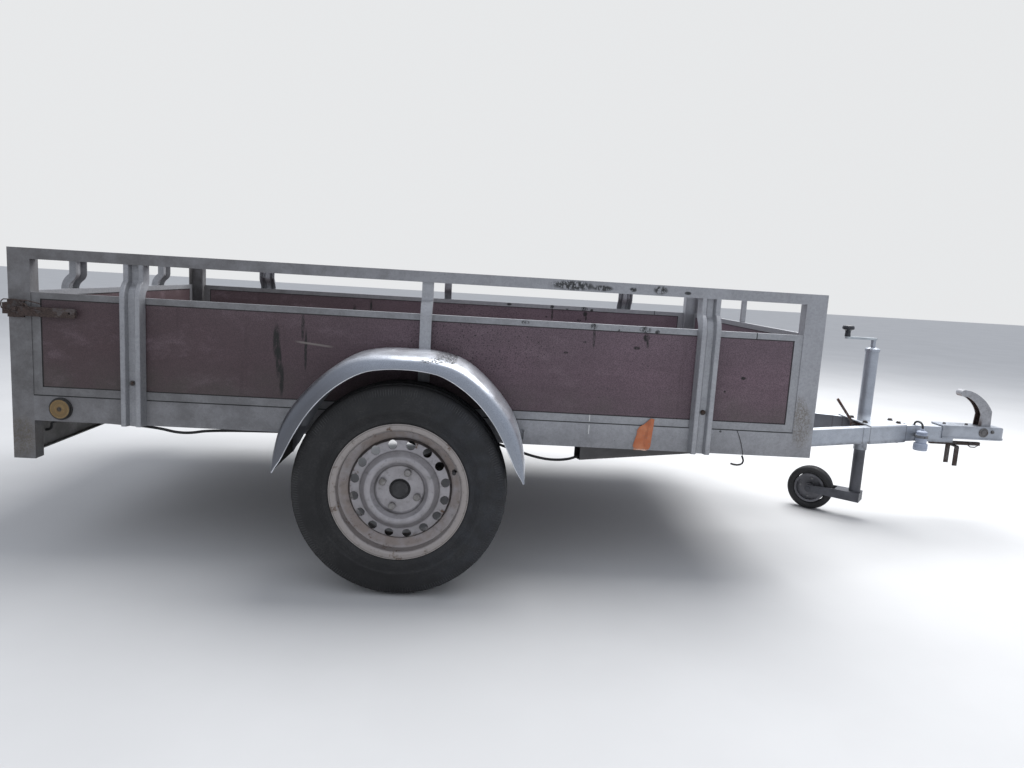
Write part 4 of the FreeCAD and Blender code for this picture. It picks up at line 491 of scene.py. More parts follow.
# radius, out from the wheel's middle plane
TYRE_RINGS = (
    (0.1665, 0.046), (0.1668, 0.0555), (0.1725, 0.0644), (0.1835, 0.0652), (0.1875, 0.0690),
    (0.1905, 0.0695), (0.2050, 0.0748), (0.2160, 0.0772), (0.2175, 0.0779), (0.2215, 0.0780),
    (0.2230, 0.0773), (0.2420, 0.0768), (0.2560, 0.0742), (0.2660, 0.0705), (0.2735, 0.0660),
    (0.2790, 0.0605), (0.2806, 0.0570), (0.2828, 0.0440), (0.2788, 0.0425), (0.2790, 0.0365),
    (0.2838, 0.0350), (0.2855, 0.0130), (0.2810, 0.0115), (0.2812, 0.0045), (0.2859, 0.0030),
)
TYRE_INSIDE = ((0.176, -0.054), (0.226, -0.0690), (0.262, -0.058), (0.272, -0.030))
SIPE_HALF = 0.0016
SIPE_DEEP = 0.0042
# where across the tread the sipes are, out from the middle
SIPED_RIB = (0.012, 0.036)
SIPED_SHOULDER = 0.043


def turned(rings, steps):
    """A round piece about Z: one circle, extruded from ring to ring; each ring is (radius, height)."""
    radius, height = rings[0]
    bpy.ops.object.select_all(action="DESELECT")
    bpy.ops.mesh.primitive_circle_add(vertices=steps, radius=radius, location=(0, 0, height))
    bpy.ops.object.mode_set(mode="EDIT")
    for next_radius, next_height in rings[1:]:
        bpy.ops.mesh.extrude_edges_move(TRANSFORM_OT_translate={"value": (0, 0, next_height - height)})
        share = next_radius / radius
        bpy.ops.transform.resize(value=(share, share, 1), center_override=(0, 0, 0))
        radius, height = next_radius, next_height
    bpy.ops.mesh.select_all(action="SELECT")
    bpy.ops.mesh.normals_make_consistent(inside=False)
    bpy.ops.object.mode_set(mode="OBJECT")
    bpy.ops.object.transform_apply(location=True)
    return bpy.context.object


def mirrored(rings):
    """The same rings on the other side of the middle plane, so that the outline comes back."""
    return [(radius, -out) for radius, out in reversed(rings)]


def pick(piece, kind, test):
    """Goes into edit mode with the edges or faces selected whose corners pass the test."""
    bpy.ops.object.mode_set(mode="OBJECT")
    mesh = piece.data
    for group in (mesh.vertices, mesh.edges, mesh.polygons):
        group.foreach_set("select", [False] * len(group))
    for part in mesh.edges if kind == "EDGE" else mesh.polygons:
        part.select = test([mesh.vertices[index].co for index in part.vertices])
    bpy.ops.object.mode_set(mode="EDIT")
    bpy.ops.mesh.select_mode(type=kind)


def sunk(deep):
    """Presses the picked faces in and leaves edit mode."""
    bpy.ops.mesh.extrude_region_shrink_fatten(TRANSFORM_OT_shrink_fatten={"value": -deep})
    bpy.ops.object.mode_set(mode="OBJECT")


tyre_inside = list(TYRE_INSIDE) + mirrored(TYRE_INSIDE)
tyre = turned(list(TYRE_RINGS) + mirrored(TYRE_RINGS) + tyre_inside, TREAD_PITCH)


def across_tread(corners):
    """An edge that runs straight across the outside of the tread."""
    start, end = corners
    level = abs(start.to_2d().angle_signed(end.to_2d(), 0)) < 0.001
    outside = min(corner.to_2d().length for corner in corners) > TREAD_FROM
    return level and outside and abs(start.z - end.z) > SIPE_HALF


pick(tyre, "EDGE", across_tread)
bpy.ops.mesh.bevel(offset=SIPE_HALF, offset_type="WIDTH", segments=1, affect="EDGES")


def sipe(corners):
    """A narrow face that the bevel left across a block of the tread."""
    turn = max(abs(corner.to_2d().angle(corners[0].to_2d())) for corner in corners)
    middle = sum(abs(corner.z) for corner in corners) / len(corners)
    raised = min(corner.to_2d().length for corner in corners) > TREAD_RIB_FROM
    narrow = turn * AXLE[1] < 4 * SIPE_HALF
    return narrow and raised and (middle > SIPED_SHOULDER or SIPED_RIB[0] < middle < SIPED_RIB[1])


pick(tyre, "FACE", sipe)
sunk(SIPE_DEEP)


def distance(along, up):
    return calc("POWER", plus(times(along, along), times(up, up)), 0.5)


def wheel_polar(split):
    """Distance from the wheel's axis in metres and the angle round it."""
    along = minus(split[0], AXLE[0])
    up = minus(split[2], AXLE[1])
    return distance(along, up), calc("ARCTAN2", up, along)


def band(value, rise_from, rise_to, fall_from, fall_to):
    """1 between rise_to and fall_from, 0 outside rise_from and fall_to."""
    return times(step(value, rise_from, rise_to), step(value, fall_to, fall_from))


RUBBER = (0.006, 0.006, 0.0065)
RUBBER_GREY = (0.014, 0.014, 0.015)
RUBBER_DUST = (0.042, 0.040, 0.037)
RUBBER_SHEEN = (0.036, 0.041, 0.052)
RUBBER_RIB = (0.060, 0.060, 0.062)
WALL_RIBS = 252.0
WALL_RINGS = 1900.0


def tyre_rubber(name):
    """Dusty black rubber with fine ribs round the shoulder and rings on the lower wall, and a painted bluish
    sky sheen in patches on its front half.
    """
    material, place, split = new_finish(name)
    far, angle = wheel_polar(split)
    cloud = step(grain(place, 11, detail=6, rough=0.65), 0.30, 0.72)
    fine = grain(place, 240, detail=4)
    colour = over(cloud, RUBBER, RUBBER_GREY)
    dust = times(step(fine, 0.42, 0.72), step(cloud, 0.2, 0.9, 0.10, 0.5))
    wall = times(step(far, 0.250, 0.284, 0.0, 1.0), 0.15)
    colour = over(calc("MAXIMUM", dust, wall), colour, RUBBER_DUST)
    # painted sheen: a bluish sky sheen in patches on the front half of the tyre
    sheen_patches = step(grain(place, 30, detail=5), 0.35, 0.7, 0.3, 1.0)
    pale_share = times(step(split[0], -0.56, -0.34, 0.0, 0.40), sheen_patches)
    colour = over(pale_share, colour, RUBBER_SHEEN)
    ribs = calc("SINE", times(angle, WALL_RIBS))
    rib_zone = band(far, 0.256, 0.262, 0.272, 0.277)
    sharp = times(step(ribs, 0.45, 0.85), rib_zone)
    rubbed = step(grain(place, 16, detail=4), 0.42, 0.62, 0.05, 0.55)
    colour = over(times(sharp, rubbed), colour, RUBBER_RIB)
    rings = calc("SINE", times(far, WALL_RINGS))
    ring_zone = band(far, 0.196, 0.198, 0.212, 0.214)
    height = plus(times(ribs, rib_zone), times(rings, ring_zone))
    return finished(material, colour, 0.72, plus(height, fine), 0.5, 0.0012)


rubber = tyre_rubber("tyre_rubber")
for side_name, side in SIDES:
    twin = tyre.copy()
    twin.data = tyre.data.copy()
    scene.collection.objects.link(twin)
    wheel_place = facing(AXLE[0], side * WHEEL_OUT, AXLE[1], (0, side, 0))
    road_tyre = copied(twin, [wheel_place])
    settle(road_tyre, f"road_tyre_{side_name}", rubber, f"wheel_{side_name}", "tyre", f"tyre_{side_name}")
bpy.data.objects.remove(tyre)


SILVER = (0.350, 0.335, 0.348)
SILVER_DULL = (0.268, 0.255, 0.262)
SILVER_CREAM = (0.300, 0.268, 0.248)
SILVER_TAN = (0.200, 0.160, 0.138)
WHEEL_RUST = (0.135, 0.080, 0.050)
WHEEL_RUST_DARK = (0.070, 0.044, 0.032)
WHEEL_GRIME = (0.075, 0.068, 0.062)
WHEEL_GROOVE = (0.035, 0.030, 0.027)
STAMP = (0.060, 0.052, 0.045)
# radius, half width, how dark
WHEEL_GROOVES = (
    (0.0660, 0.0020, 0.55), (0.1060, 0.0030, 0.25), (0.1350, 0.0035, 0.75), (0.1795, 0.0016, 0.4),
)


def wheel_paint(name):
    """Silver paint gone cream with dust, browned in the well behind the disc, rusting at the rim in spots."""
    material, place, split = new_finish(name, 0.35)
    far, angle = wheel_polar(split)
    cloud = grain(place, 30, detail=7, rough=0.7)
    fine = step(grain(place, 230, detail=4), 0.3, 0.7)
    silver = over(step(cloud, 0.3, 0.7), SILVER, SILVER_DULL)
    silver = over(step(far, 0.150, 0.168, 0.0, 0.75), silver, SILVER_CREAM)
    well = band(far, 0.128, 0.140, 0.152, 0.166)
    tan = times(well, step(grain(place, 20, detail=5), 0.30, 0.62, 0.20, 0.85))
    silver = over(tan, silver, SILVER_TAN)
    rim = times(step(far, 0.138, 0.150), 0.26)
    hip = times(step(far, 0.104, 0.120), 0.30)
    limit = minus(0.74, times(calc("MAXIMUM", rim, hip), 0.45))
    rust = step(minus(cloud, limit), -0.02, 0.07)
    colour = over(rust, silver, over(fine, WHEEL_RUST, WHEEL_RUST_DARK))
    grime = step(grain(place, 75, detail=5), 0.55, 0.70, 0.0, 0.30)
    colour = over(grime, colour, WHEEL_GRIME)
    for ring, half, dark in WHEEL_GROOVES:
        colour = over(times(line_at(far, ring, half), dark), colour, WHEEL_GROOVE)
    quarters = calc("COSINE", plus(times(angle, 4.0), 1.6))
    scratches = step(grain(place, 170, detail=2), 0.47, 0.42)
    stamped = times(step(quarters, 0.80, 0.92), scratches)
    stamped = times(stamped, line_at(far, 0.0500, 0.0085))
    colour = over(times(stamped, 0.6), colour, STAMP)
    rough = step(rust, 0, 1, 0.36, 0.80)
    height = plus(times(cloud, 0.4), times(stamped, -0.6))
    shine = step(rust, 0, 1, 0.45, 0.05)
    return finished(material, colour, rough, height, 0.25, 0.0016, Metallic=shine)


def hub_finish(name):
    """Dark greasy cap in the middle, dull plated bolts round it."""
    material, place, split = new_finish(name, 0.4)
    cap_edge = step(wheel_polar(split)[0], 0.0300, 0.0320)
    cloud = step(grain(place, 60, detail=5), 0.3, 0.7)
    bolts = over(cloud, (0.26, 0.25, 0.245), (0.15, 0.14, 0.13))
    cap = over(cloud, (0.046, 0.045, 0.047), (0.026, 0.025, 0.025))
    rough = step(cloud, 0, 1, 0.42, 0.62)
    return finished(material, over(cap_edge, cap, bolts), rough, cloud, 0.3, 0.001)


dress(wheel_paint("wheel_paint"), "rim_left", "rim_right")
dress(hub_finish("hub_finish"), "hub_left", "hub_right")


def plastic(name, tone, gloss=0.45, pale_share=0.35):
    """Rubber or plastic, a little paler in clouds where it is worn."""
    material, place, split = new_finish(name)
    cloud = step(grain(place, 45, detail=5, rough=0.65), 0.30, 0.70)
    paler = tuple(min(1, value * 1.8 + 0.01) for value in tone)
    colour = over(times(cloud, pale_share), tone, paler)
    rough = step(cloud, 0, 1, gloss, gloss + 0.2)
    return finished(material, colour, rough, grain(place, 300, detail=3), 0.25, 0.0006)


# radius, out from the rim's well
VALVE_RINGS = (
    (0.0085, 0.0), (0.0085, 0.0020), (0.0060, 0.0050), (0.0052, 0.0160), (0.0046, 0.0180), (0.0046, 0.0190),
    (0.0051, 0.0195), (0.0051, 0.0270), (0.0046, 0.0280), (0.0001, 0.0280),
)
# along and up from the axle, and out from the wheel's middle plane
VALVE_PLACE = (0.1415, 0.0530)
VALVE_OUT = 0.022
valve_rubber = plastic("valve_rubber", (0.020, 0.020, 0.021), 0.5)
for side_name, side in SIDES:
    valve_x = AXLE[0] + VALVE_PLACE[0]
    stem = facing(valve_x, side * (WHEEL_OUT + VALVE_OUT), AXLE[1] + VALVE_PLACE[1], (0, side, 0))
    valve = copied(turned(VALVE_RINGS, 16), [stem])
    settle(valve, f"tyre_valve_{side_name}", valve_rubber, f"wheel_{side_name}", "tyre")


# Axle: square tube across the trailer in two saddles under the rails, with a swing arm at each end that
# carries the wheel; galvanised once, dark and brown now from the road.
axle_steel = rust_on("axle_steel", (0.105, 0.102, 0.094), 0.38, (0.060, 0.034, 0.022), 0.4, 0.6)
dress(axle_steel, "axle_beam", "axle_saddles", "swing_arms")


# Mudguards: rolled sheet, galvanised and smoother than the frame, so that the sky shines on the crown and
# the ends go dark, with painted shade at the rear end, a painted dark reflection along the outer edge and
# near-black painted shade on the inside; three flat facets over the top, tips cut straight across, black
# scuffs on the crown, a hem rolled along each lip whose pale finish is a painted highlight, and a bracket
# with two bolts at each end.
GUARD_BRIGHT = (0.870, 0.895, 0.945)
GUARD_DULL = (0.700, 0.730, 0.785)
GUARD_EDGE_REFLECTION = (0.165, 0.190, 0.235)
GUARD_REAR_SHADE = (0.120, 0.124, 0.138)
ZINC_PEPPER = (0.16, 0.165, 0.18)
SCUFF = (0.020, 0.021, 0.022)
# along the trailer, up, half of its length, half of its height
GUARD_SCUFFS = ((-0.475, 0.636, 0.048, 0.007), (-0.43, 0.634, 0.020, 0.006), (-0.50, 0.6365, 0.012, 0.004))
# degrees from the top, radius of the crown, radius of the lip
GUARD_STATIONS = (
    (0, 0.3575, 0.3270), (10, 0.3615, 0.3285), (16, 0.3655, 0.3300), (22, 0.3680, 0.3275),
    (28, 0.3660, 0.3235), (35, 0.3605, 0.3190), (44, 0.3555, 0.3135), (52, 0.3530, 0.3095),
    (58, 0.3510, 0.3070), (64, 0.3475, 0.3065), (70, 0.3420, 0.3080), (76, 0.3365, 0.3130),
    (82.4, 0.3290, 0.3262),
)
# share of the way from the lip to the crown, out from the trailer's middle
GUARD_SECTION = (
    (0.0, 0.6852), (0.90, 0.6852), (0.97, 0.6870), (1.0, 0.6900), (1.02, 0.7750), (1.0, 0.8620),
    (0.965, 0.8790), (0.88, 0.8935), (0.74, 0.9035), (0.56, 0.9090), (0.34, 0.9108), (0.0, 0.9108),
)
GUARD_STEPS = 118
GUARD_TIP = 82.4
GUARD_THICK = 0.002
GUARD_INWARD = 0.06
HEM_OUT = 0.9096
HEM_RADIUS = 0.0022
HEM_STEPS = 27
# from the axle along the trailer, out, up
BRACKET_BOLT = (0.315, 0.672, 0.408)
BRACKET_BOLT_TURNS = (0.700, 0.715)


def rolled_zinc(name):
    """Smooth zinc sheet, brushed across, with a painted dark reflection at the outer edge and painted shade
    to the rear.
    """
    material, place, split = new_finish(name, 0.88)
    brushed = step(grain(place, 26, (1, 0.3, 1), 6, 0.65), 0.30, 0.72)
    fine = grain(place, 260, detail=4)
    colour = over(times(brushed, 0.6), GUARD_BRIGHT, GUARD_DULL)
    out = calc("ABSOLUTE", split[1])
    # painted dark reflection along the outer edge of the sheet
    colour = over(step(out, 0.885, 0.908, 0.0, 0.78), colour, GUARD_EDGE_REFLECTION)
    # painted shade at the rear end
    colour = over(times(step(split[0], -0.60, -0.80), 0.94), colour, GUARD_REAR_SHADE)
    pepper = step(grain(place, 420, detail=2), 0.42, 0.66, 0.0, 0.35)
    colour = over(pepper, colour, ZINC_PEPPER)
    rubbed = step(grain(place, 150, (1, 1, 3), 5, 0.75), 0.44, 0.54)
    for spot in GUARD_SCUFFS:
        colour = over(times(near(split, *spot), rubbed), colour, SCUFF)
    rough = step(brushed, 0, 1, 0.30, 0.42)
    return finished(material, colour, rough, plus(brushed, fine), 0.06, 0.0012)


def guard_radii(turn):
    """Radius of crown and lip at an angle from the top, on a smooth line through the stations."""
    turn = min(abs(turn), GUARD_TIP - 0.001)
    last = len(GUARD_STATIONS) - 1
    index = max(i for i in range(last) if GUARD_STATIONS[i][0] <= turn)
    rows = [GUARD_STATIONS[min(max(index + step_on, 0), last)] for step_on in (-1, 0, 1, 2)]
    share = (turn - rows[1][0]) / (rows[2][0] - rows[1][0])
    radii = []
    for column in (1, 2):
        before, start, end, after = (row[column] for row in rows)
        rise, fall = (end - before) / 2, (after - start) / 2
        bend = start - end
        square = -3 * bend - 2 * rise - fall
        cube = 2 * bend + rise + fall
        radii.append(start + share * (rise + share * (square + share * cube)))
    return radii


def past_tip(corners):
    """A face of the hoop below the mudguard's tips."""
    along = sum(corner.x for corner in corners) / len(corners) - AXLE[0]
    up = sum(corner.z for corner in corners) / len(corners) - AXLE[1]
    return math.degrees(math.atan2(abs(along), up)) > GUARD_TIP


guards = []
hems = []
for side in (-1, 1):
    hoop = turned([(1 + share, out) for share, out in GUARD_SECTION], GUARD_STEPS)
    hoop = copied(hoop, [facing(AXLE[0], 0, AXLE[1], (0, side, 0))])
    bpy.context.view_layer.objects.active = hoop
    pick(hoop, "FACE", past_tip)
    bpy.ops.mesh.delete(type="FACE")
    bpy.ops.object.mode_set(mode="OBJECT")
    for vertex in hoop.data.vertices:
        along, up = vertex.co.x - AXLE[0], vertex.co.z - AXLE[1]
        far = math.hypot(along, up)
        crown, lip = guard_radii(math.degrees(math.atan2(abs(along), up)))
        real = lip + (far - 1) * (crown - lip)
        vertex.co.x = AXLE[0] + along / far * real
        vertex.co.z = AXLE[1] + up / far * real
    sheet = hoop.modifiers.new("sheet", "SOLIDIFY")
    sheet.thickness = GUARD_THICK
    sheet.offset = 0
    bpy.ops.object.modifier_apply(modifier="sheet")
    guards.append(hoop)
    line = []
    for index in range(-HEM_STEPS, HEM_STEPS + 1):
        turn = math.radians(GUARD_TIP * index / HEM_STEPS)
        lip = guard_radii(math.degrees(turn))[1]
        line.append((AXLE[0] + math.sin(turn) * lip, side * HEM_OUT, AXLE[1] + math.cos(turn) * lip))
    hems.append(rod(line, HEM_RADIUS, 8))
mudguards = joined(guards)
mudguards.data.materials.clear()
mudguards.data.materials.append(rolled_zinc("guard_zinc"))
# near-black painted shade on the faces that look in towards the wheel
mudguards.data.materials.append(plastic("guard_underside_shade", (0.022, 0.020, 0.018), 0.85, 0.6))
for face in mudguards.data.polygons:
    inward = (AXLE[0] - face.center.x) * face.normal.x + (AXLE[1] - face.center.z) * face.normal.z
    face.material_index = 1 if inward > GUARD_INWARD else 0
settle(mudguards, "rolled_mudguards", None, "chassis", "galvanised", "mudguards")
# the hem's pale, less metallic finish is a painted highlight along the lip
hem_highlight = rust_on("hem_highlight", (0.80, 0.82, 0.86), 0.05, metallic=0.35, gloss=0.35)
settle(joined(hems), "mudguard_hems", hem_highlight, "chassis", "galvanised")
dress(side_zinc, "mudguard_brackets")
guard_bolts = []
along, out, up = BRACKET_BOLT
for side in (-1, 1):
    for end in (-1, 1):
        for turn in BRACKET_BOLT_TURNS:
            guard_bolts.append(facing(AXLE[0] + end * along, side * out, up, (0, side, 0), turn))
settle(copied(hex_bolt(0.8), guard_bolts), "bracket_bolts", bolt_steel, "chassis", "rusty_steel")


# Lamps: a black plastic case along the lamp board on each side, its lens in red, amber and clear sections
# with fine optic ribs, and a fog or reversing window at the inner end.
# the lamp board's zinc is a lighter copy, painted light on a board that sits in shade
dress(galvanised("lit_board_zinc", (0.48, 0.48, 0.475), (0.33, 0.328, 0.32), 0.55, 0.8), "lamp_board")
LAMP_FACE = -1.659
LAMP_BACK = -1.636
LAMP_NEAR = 0.384
LAMP_FAR = 0.584
LAMP_FOOT = 0.289
LAMP_TOP = 0.367
LAMP_LONG = LAMP_FAR - LAMP_NEAR
CASE_DEEP = 0.016
CASE_INTO_BOARD = 0.0005
CASE_RIM = 0.003
CASE_SUNK = 0.004
LENS_RIM = 0.006
LENS_FOOT = 0.010
LENS_RIBS = 900.0
# colour, tone, start and end along the lamp from its inner end, as shares of its length
LENS_PARTS = (
    ("clear", (0.55, 0.54, 0.50), 0.035, 0.235), ("red", (0.42, 0.012, 0.010), 0.25, 0.60),
    ("amber", (0.62, 0.18, 0.012), 0.615, 0.965),
)


def block(low, high, edge):
    """A box between two corners with rounded edges."""
    bpy.ops.object.select_all(action="DESELECT")
    middle = [(a + b) / 2 for a, b in zip(low, high)]
    bpy.ops.mesh.primitive_cube_add(size=1, location=middle, scale=[b - a for a, b in zip(low, high)])
    piece = bpy.context.object
    bpy.ops.object.transform_apply(location=True, rotation=True, scale=True)
    bevel = piece.modifiers.new("edges", "BEVEL")
    bevel.width = edge
    bevel.segments = 3
    bpy.ops.object.modifier_apply(modifier="edges")
    return piece


def lens(name, tone):
    """Clear plastic over a bright bowl: the ribs are lines in the lens, the colour is deep and glossy."""
    material, place, split = new_finish(name)
    ribs = calc("SINE", times(split[1], LENS_RIBS))
    rows = calc("SINE", times(split[2], LENS_RIBS))
    bowl = step(grain(place, 24, detail=2), 0.35, 0.65)
    colour = over(times(bowl, 0.5), tone, scaled(tone, 0.45))
    film = step(grain(place, 70, detail=5), 0.48, 0.72, 0.0, 0.35)
    colour = over(film, colour, ROAD_DIRT_AND_SHADE)
    return finished(material, colour, 0.22, plus(ribs, rows), 0.35, 0.0010, Coat_Weight=0.5)


def case_front(corners):
    """The face of the lamp case that looks to the rear."""
    return max(corner.x for corner in corners) < LAMP_BACK - CASE_DEEP + 0.0002


case_black = plastic("case_black", (0.018, 0.018, 0.019))
lens_finishes = {colour: lens(f"lens_{colour}", tone) for colour, tone, start, end in LENS_PARTS}
for side_name, side in SIDES:
    near_y, far_y = sorted((side * LAMP_NEAR, side * LAMP_FAR))
    case_low = (LAMP_BACK - CASE_DEEP, near_y, LAMP_FOOT)
    case = block(case_low, (LAMP_BACK + CASE_INTO_BOARD, far_y, LAMP_TOP), 0.005)
    pick(case, "FACE", case_front)
    bpy.ops.mesh.inset(thickness=CASE_RIM)
    bpy.ops.transform.translate(value=(CASE_SUNK, 0, 0))
    bpy.ops.object.mode_set(mode="OBJECT")
    settle(case, f"lamp_case_{side_name}", case_black, "chassis", "lamp_red", "rear_lamps")
    for colour, tone, start, end in LENS_PARTS:
        start_y, end_y = sorted(side * (LAMP_NEAR + share * LAMP_LONG) for share in (start, end))
        window_low = (LAMP_FACE, start_y, LAMP_FOOT + LENS_RIM)
        window = block(window_low, (LAMP_BACK - LENS_FOOT, end_y, LAMP_TOP - LENS_RIM), 0.004)
        settle(window, f"lamp_{colour}_{side_name}", lens_finishes[colour], "chassis", "lamp_red")


# Side reflectors: round plastic lenses near the rear end of the side rails, once amber and now milky ochre,
# in dark rubber rings, each held by a rivet in its middle.
REFLECTOR_PLACE = (-1.531, 0.416)
REFLECTOR_OUT = 0.6640
OCHRE = (0.200, 0.118, 0.036)
OCHRE_MILKY = (0.235, 0.160, 0.062)
OCHRE_PRISM = (0.105, 0.058, 0.018)
OCHRE_RING = (0.150, 0.095, 0.034)
OCHRE_RIM = (0.020, 0.018, 0.016)
OCHRE_RIVET = (0.045, 0.034, 0.024)
# radius, out from the base
REFLECTOR_RINGS = (
    (0.0295, 0.0), (0.0295, 0.0035), (0.0275, 0.0058), (0.0265, 0.0050), (0.0200, 0.0056), (0.0110, 0.0060),
    (0.0058, 0.0060), (0.0054, 0.0052), (0.0042, 0.0052), (0.0036, 0.0062), (0.0018, 0.0070),
    (0.0001, 0.0071),
)


def reflector_ochre(name):
    """Amber plastic bleached to ochre over a honeycomb of prisms; the middle and the edge are dark."""
    material, place, split = new_finish(name)
    along = minus(split[0], REFLECTOR_PLACE[0])
    up = minus(split[2], REFLECTOR_PLACE[1])
    far = distance(along, up)
    prisms = cells(place, 330, "Distance")
    colour = over(step(grain(place, 40, detail=4), 0.35, 0.70), OCHRE, OCHRE_MILKY)
    colour = over(step(prisms, 0.1, 0.7, 0.0, 0.40), colour, OCHRE_PRISM)
    colour = over(line_at(far, 0.0185, 0.0050), colour, OCHRE_RING)
    colour = over(step(far, 0.0255, 0.0275), colour, OCHRE_RIM)
    colour = over(step(far, 0.0100, 0.0035), colour, OCHRE_RIVET)
    return finished(material, colour, 0.38, prisms, 0.4, 0.0008)


ochre = reflector_ochre("reflector_ochre")
x, z = REFLECTOR_PLACE
places = [facing(x, side * REFLECTOR_OUT, z, (0, side, 0)) for side in (-1, 1)]
lenses = copied(turned(REFLECTOR_RINGS, 48), places)
settle(lenses, "reflector_lenses", ochre, "chassis", "reflector_amber", "side_reflectors")
dress(plastic("reflector_rubber", (0.024, 0.023, 0.022), 0.6), "reflector_bases")


# Torn sticker: what is left of an orange warning tape, from the side rail's middle up to the panel, its
# left part lost.
TAPE_MIDDLE = (0.1, -0.6615, 0.43)
TAPE_THICK = 0.0006
TAPE_ORANGE = (0.43, 0.125, 0.048)
TAPE_FADED = (0.50, 0.185, 0.085)
TAPE_CREASE = (0.27, 0.075, 0.030)
TAPE_PALE = (0.62, 0.42, 0.33)
TAPE_CHIP = (0.20, 0.17, 0.15)
# along the trailer, up
TAPE_CORNERS = (
    (0.1452, 0.4703), (0.1500, 0.4745), (0.1600, 0.4722), (0.1592, 0.4600), (0.1585, 0.4491),
    (0.1562, 0.4200), (0.1542, 0.3897), (0.1500, 0.3822), (0.1407, 0.3772), (0.1240, 0.3790),
    (0.1061, 0.3785), (0.1027, 0.3912), (0.1062, 0.4060), (0.1109, 0.4235), (0.1120, 0.4370),
    (0.1175, 0.4480), (0.1310, 0.4563), (0.1360, 0.4610),
)


def tape_orange(name):
    """Faded orange film with creases along it, chipped, and pale at its lower edge."""
    material, place, split = new_finish(name)
    colour = over(step(grain(place, 36, detail=5), 0.35, 0.68), TAPE_ORANGE, TAPE_FADED)
    creases = step(grain(place, 60, (1, 1, 0.25), 4, 0.6), 0.52, 0.62, 0.0, 0.5)
    colour = over(creases, colour, TAPE_CREASE)
    pale = times(step(split[2], 0.3835, 0.3800), step(grain(place, 120), 0.35, 0.6))
    colour = over(pale, colour, TAPE_PALE)
    colour = over(step(grain(place, 230, detail=4), 0.62, 0.68), colour, TAPE_CHIP)
    return finished(material, colour, 0.6, grain(place, 90), 0.4, 0.0008)


bpy.ops.object.select_all(action="DESELECT")
bpy.ops.mesh.primitive_circle_add(
    vertices=len(TAPE_CORNERS), radius=0.05, fill_type="NGON", location=TAPE_MIDDLE,
)
tape = bpy.context.object
for vertex, (x, z) in zip(tape.data.vertices, TAPE_CORNERS):
    vertex.co = (x - TAPE_MIDDLE[0], 0, z - TAPE_MIDDLE[2])
bpy.ops.object.mode_set(mode="EDIT")
bpy.ops.mesh.select_all(action="SELECT")
bpy.ops.mesh.normals_make_consistent(inside=False)
bpy.ops.object.mode_set(mode="OBJECT")
thick = tape.modifiers.new("thick", "SOLIDIFY")
thick.thickness = TAPE_THICK
bpy.ops.object.modifier_apply(modifier="thick")
settle(tape, "torn_tape", tape_orange("tape_orange"), "chassis", "reflector_amber")


# Net wire: a thin dark steel wire that hangs loose over the right-hand side rail near its front end and ends
# below it in a hook of thicker wire.
NET_PIECES = (
    # across the trailer, radius, then the line: along the trailer, up
    (-0.6612, 0.0008, (
        (0.408, 0.4505), (0.416, 0.434), (0.423, 0.416), (0.428, 0.398), (0.432, 0.381), (0.430, 0.375),
    )),
    (-0.6600, 0.0029, (
        (0.430, 0.3760), (0.4335, 0.3690), (0.4360, 0.3610), (0.4335, 0.3530), (0.4270, 0.3490),
        (0.4180, 0.3475), (0.4080, 0.3485), (0.3990, 0.3510),
    )),
)
net_wires = [rod([(x, across, z) for x, z in line], radius, 8) for across, radius, line in NET_PIECES]
wire_dark = plastic("wire_dark", (0.020, 0.018, 0.017), 0.5)
settle(joined(net_wires), "net_hook", wire_dark, "chassis", "rusty_steel")


# Drawbar: rectangular tubes, the lightest zinc on the trailer, its blue a painted sky sheen, welded to the
# nose plates, with a painted highlight on top, painted shade on the inner faces and painted shade with dirt
# where they run under the box; through bolts hold the nose plates.
BAR_BRIGHT = (0.400, 0.430, 0.480)
BAR_DULL = (0.290, 0.315, 0.360)
BAR_RUN = (0.215, 0.225, 0.245)
BAR_TOP_HIGHLIGHT = (0.720, 0.750, 0.790)
BAR_SHADE_AND_DIRT = (0.052, 0.048, 0.046)
BAR_INNER_SHADE = (0.105, 0.105, 0.118)
BAR_FOOT = (0.105, 0.100, 0.098)
BAR_WELD = (0.085, 0.082, 0.080)
BAR_WELDS = (1.0695, 1.1030, 1.2830)


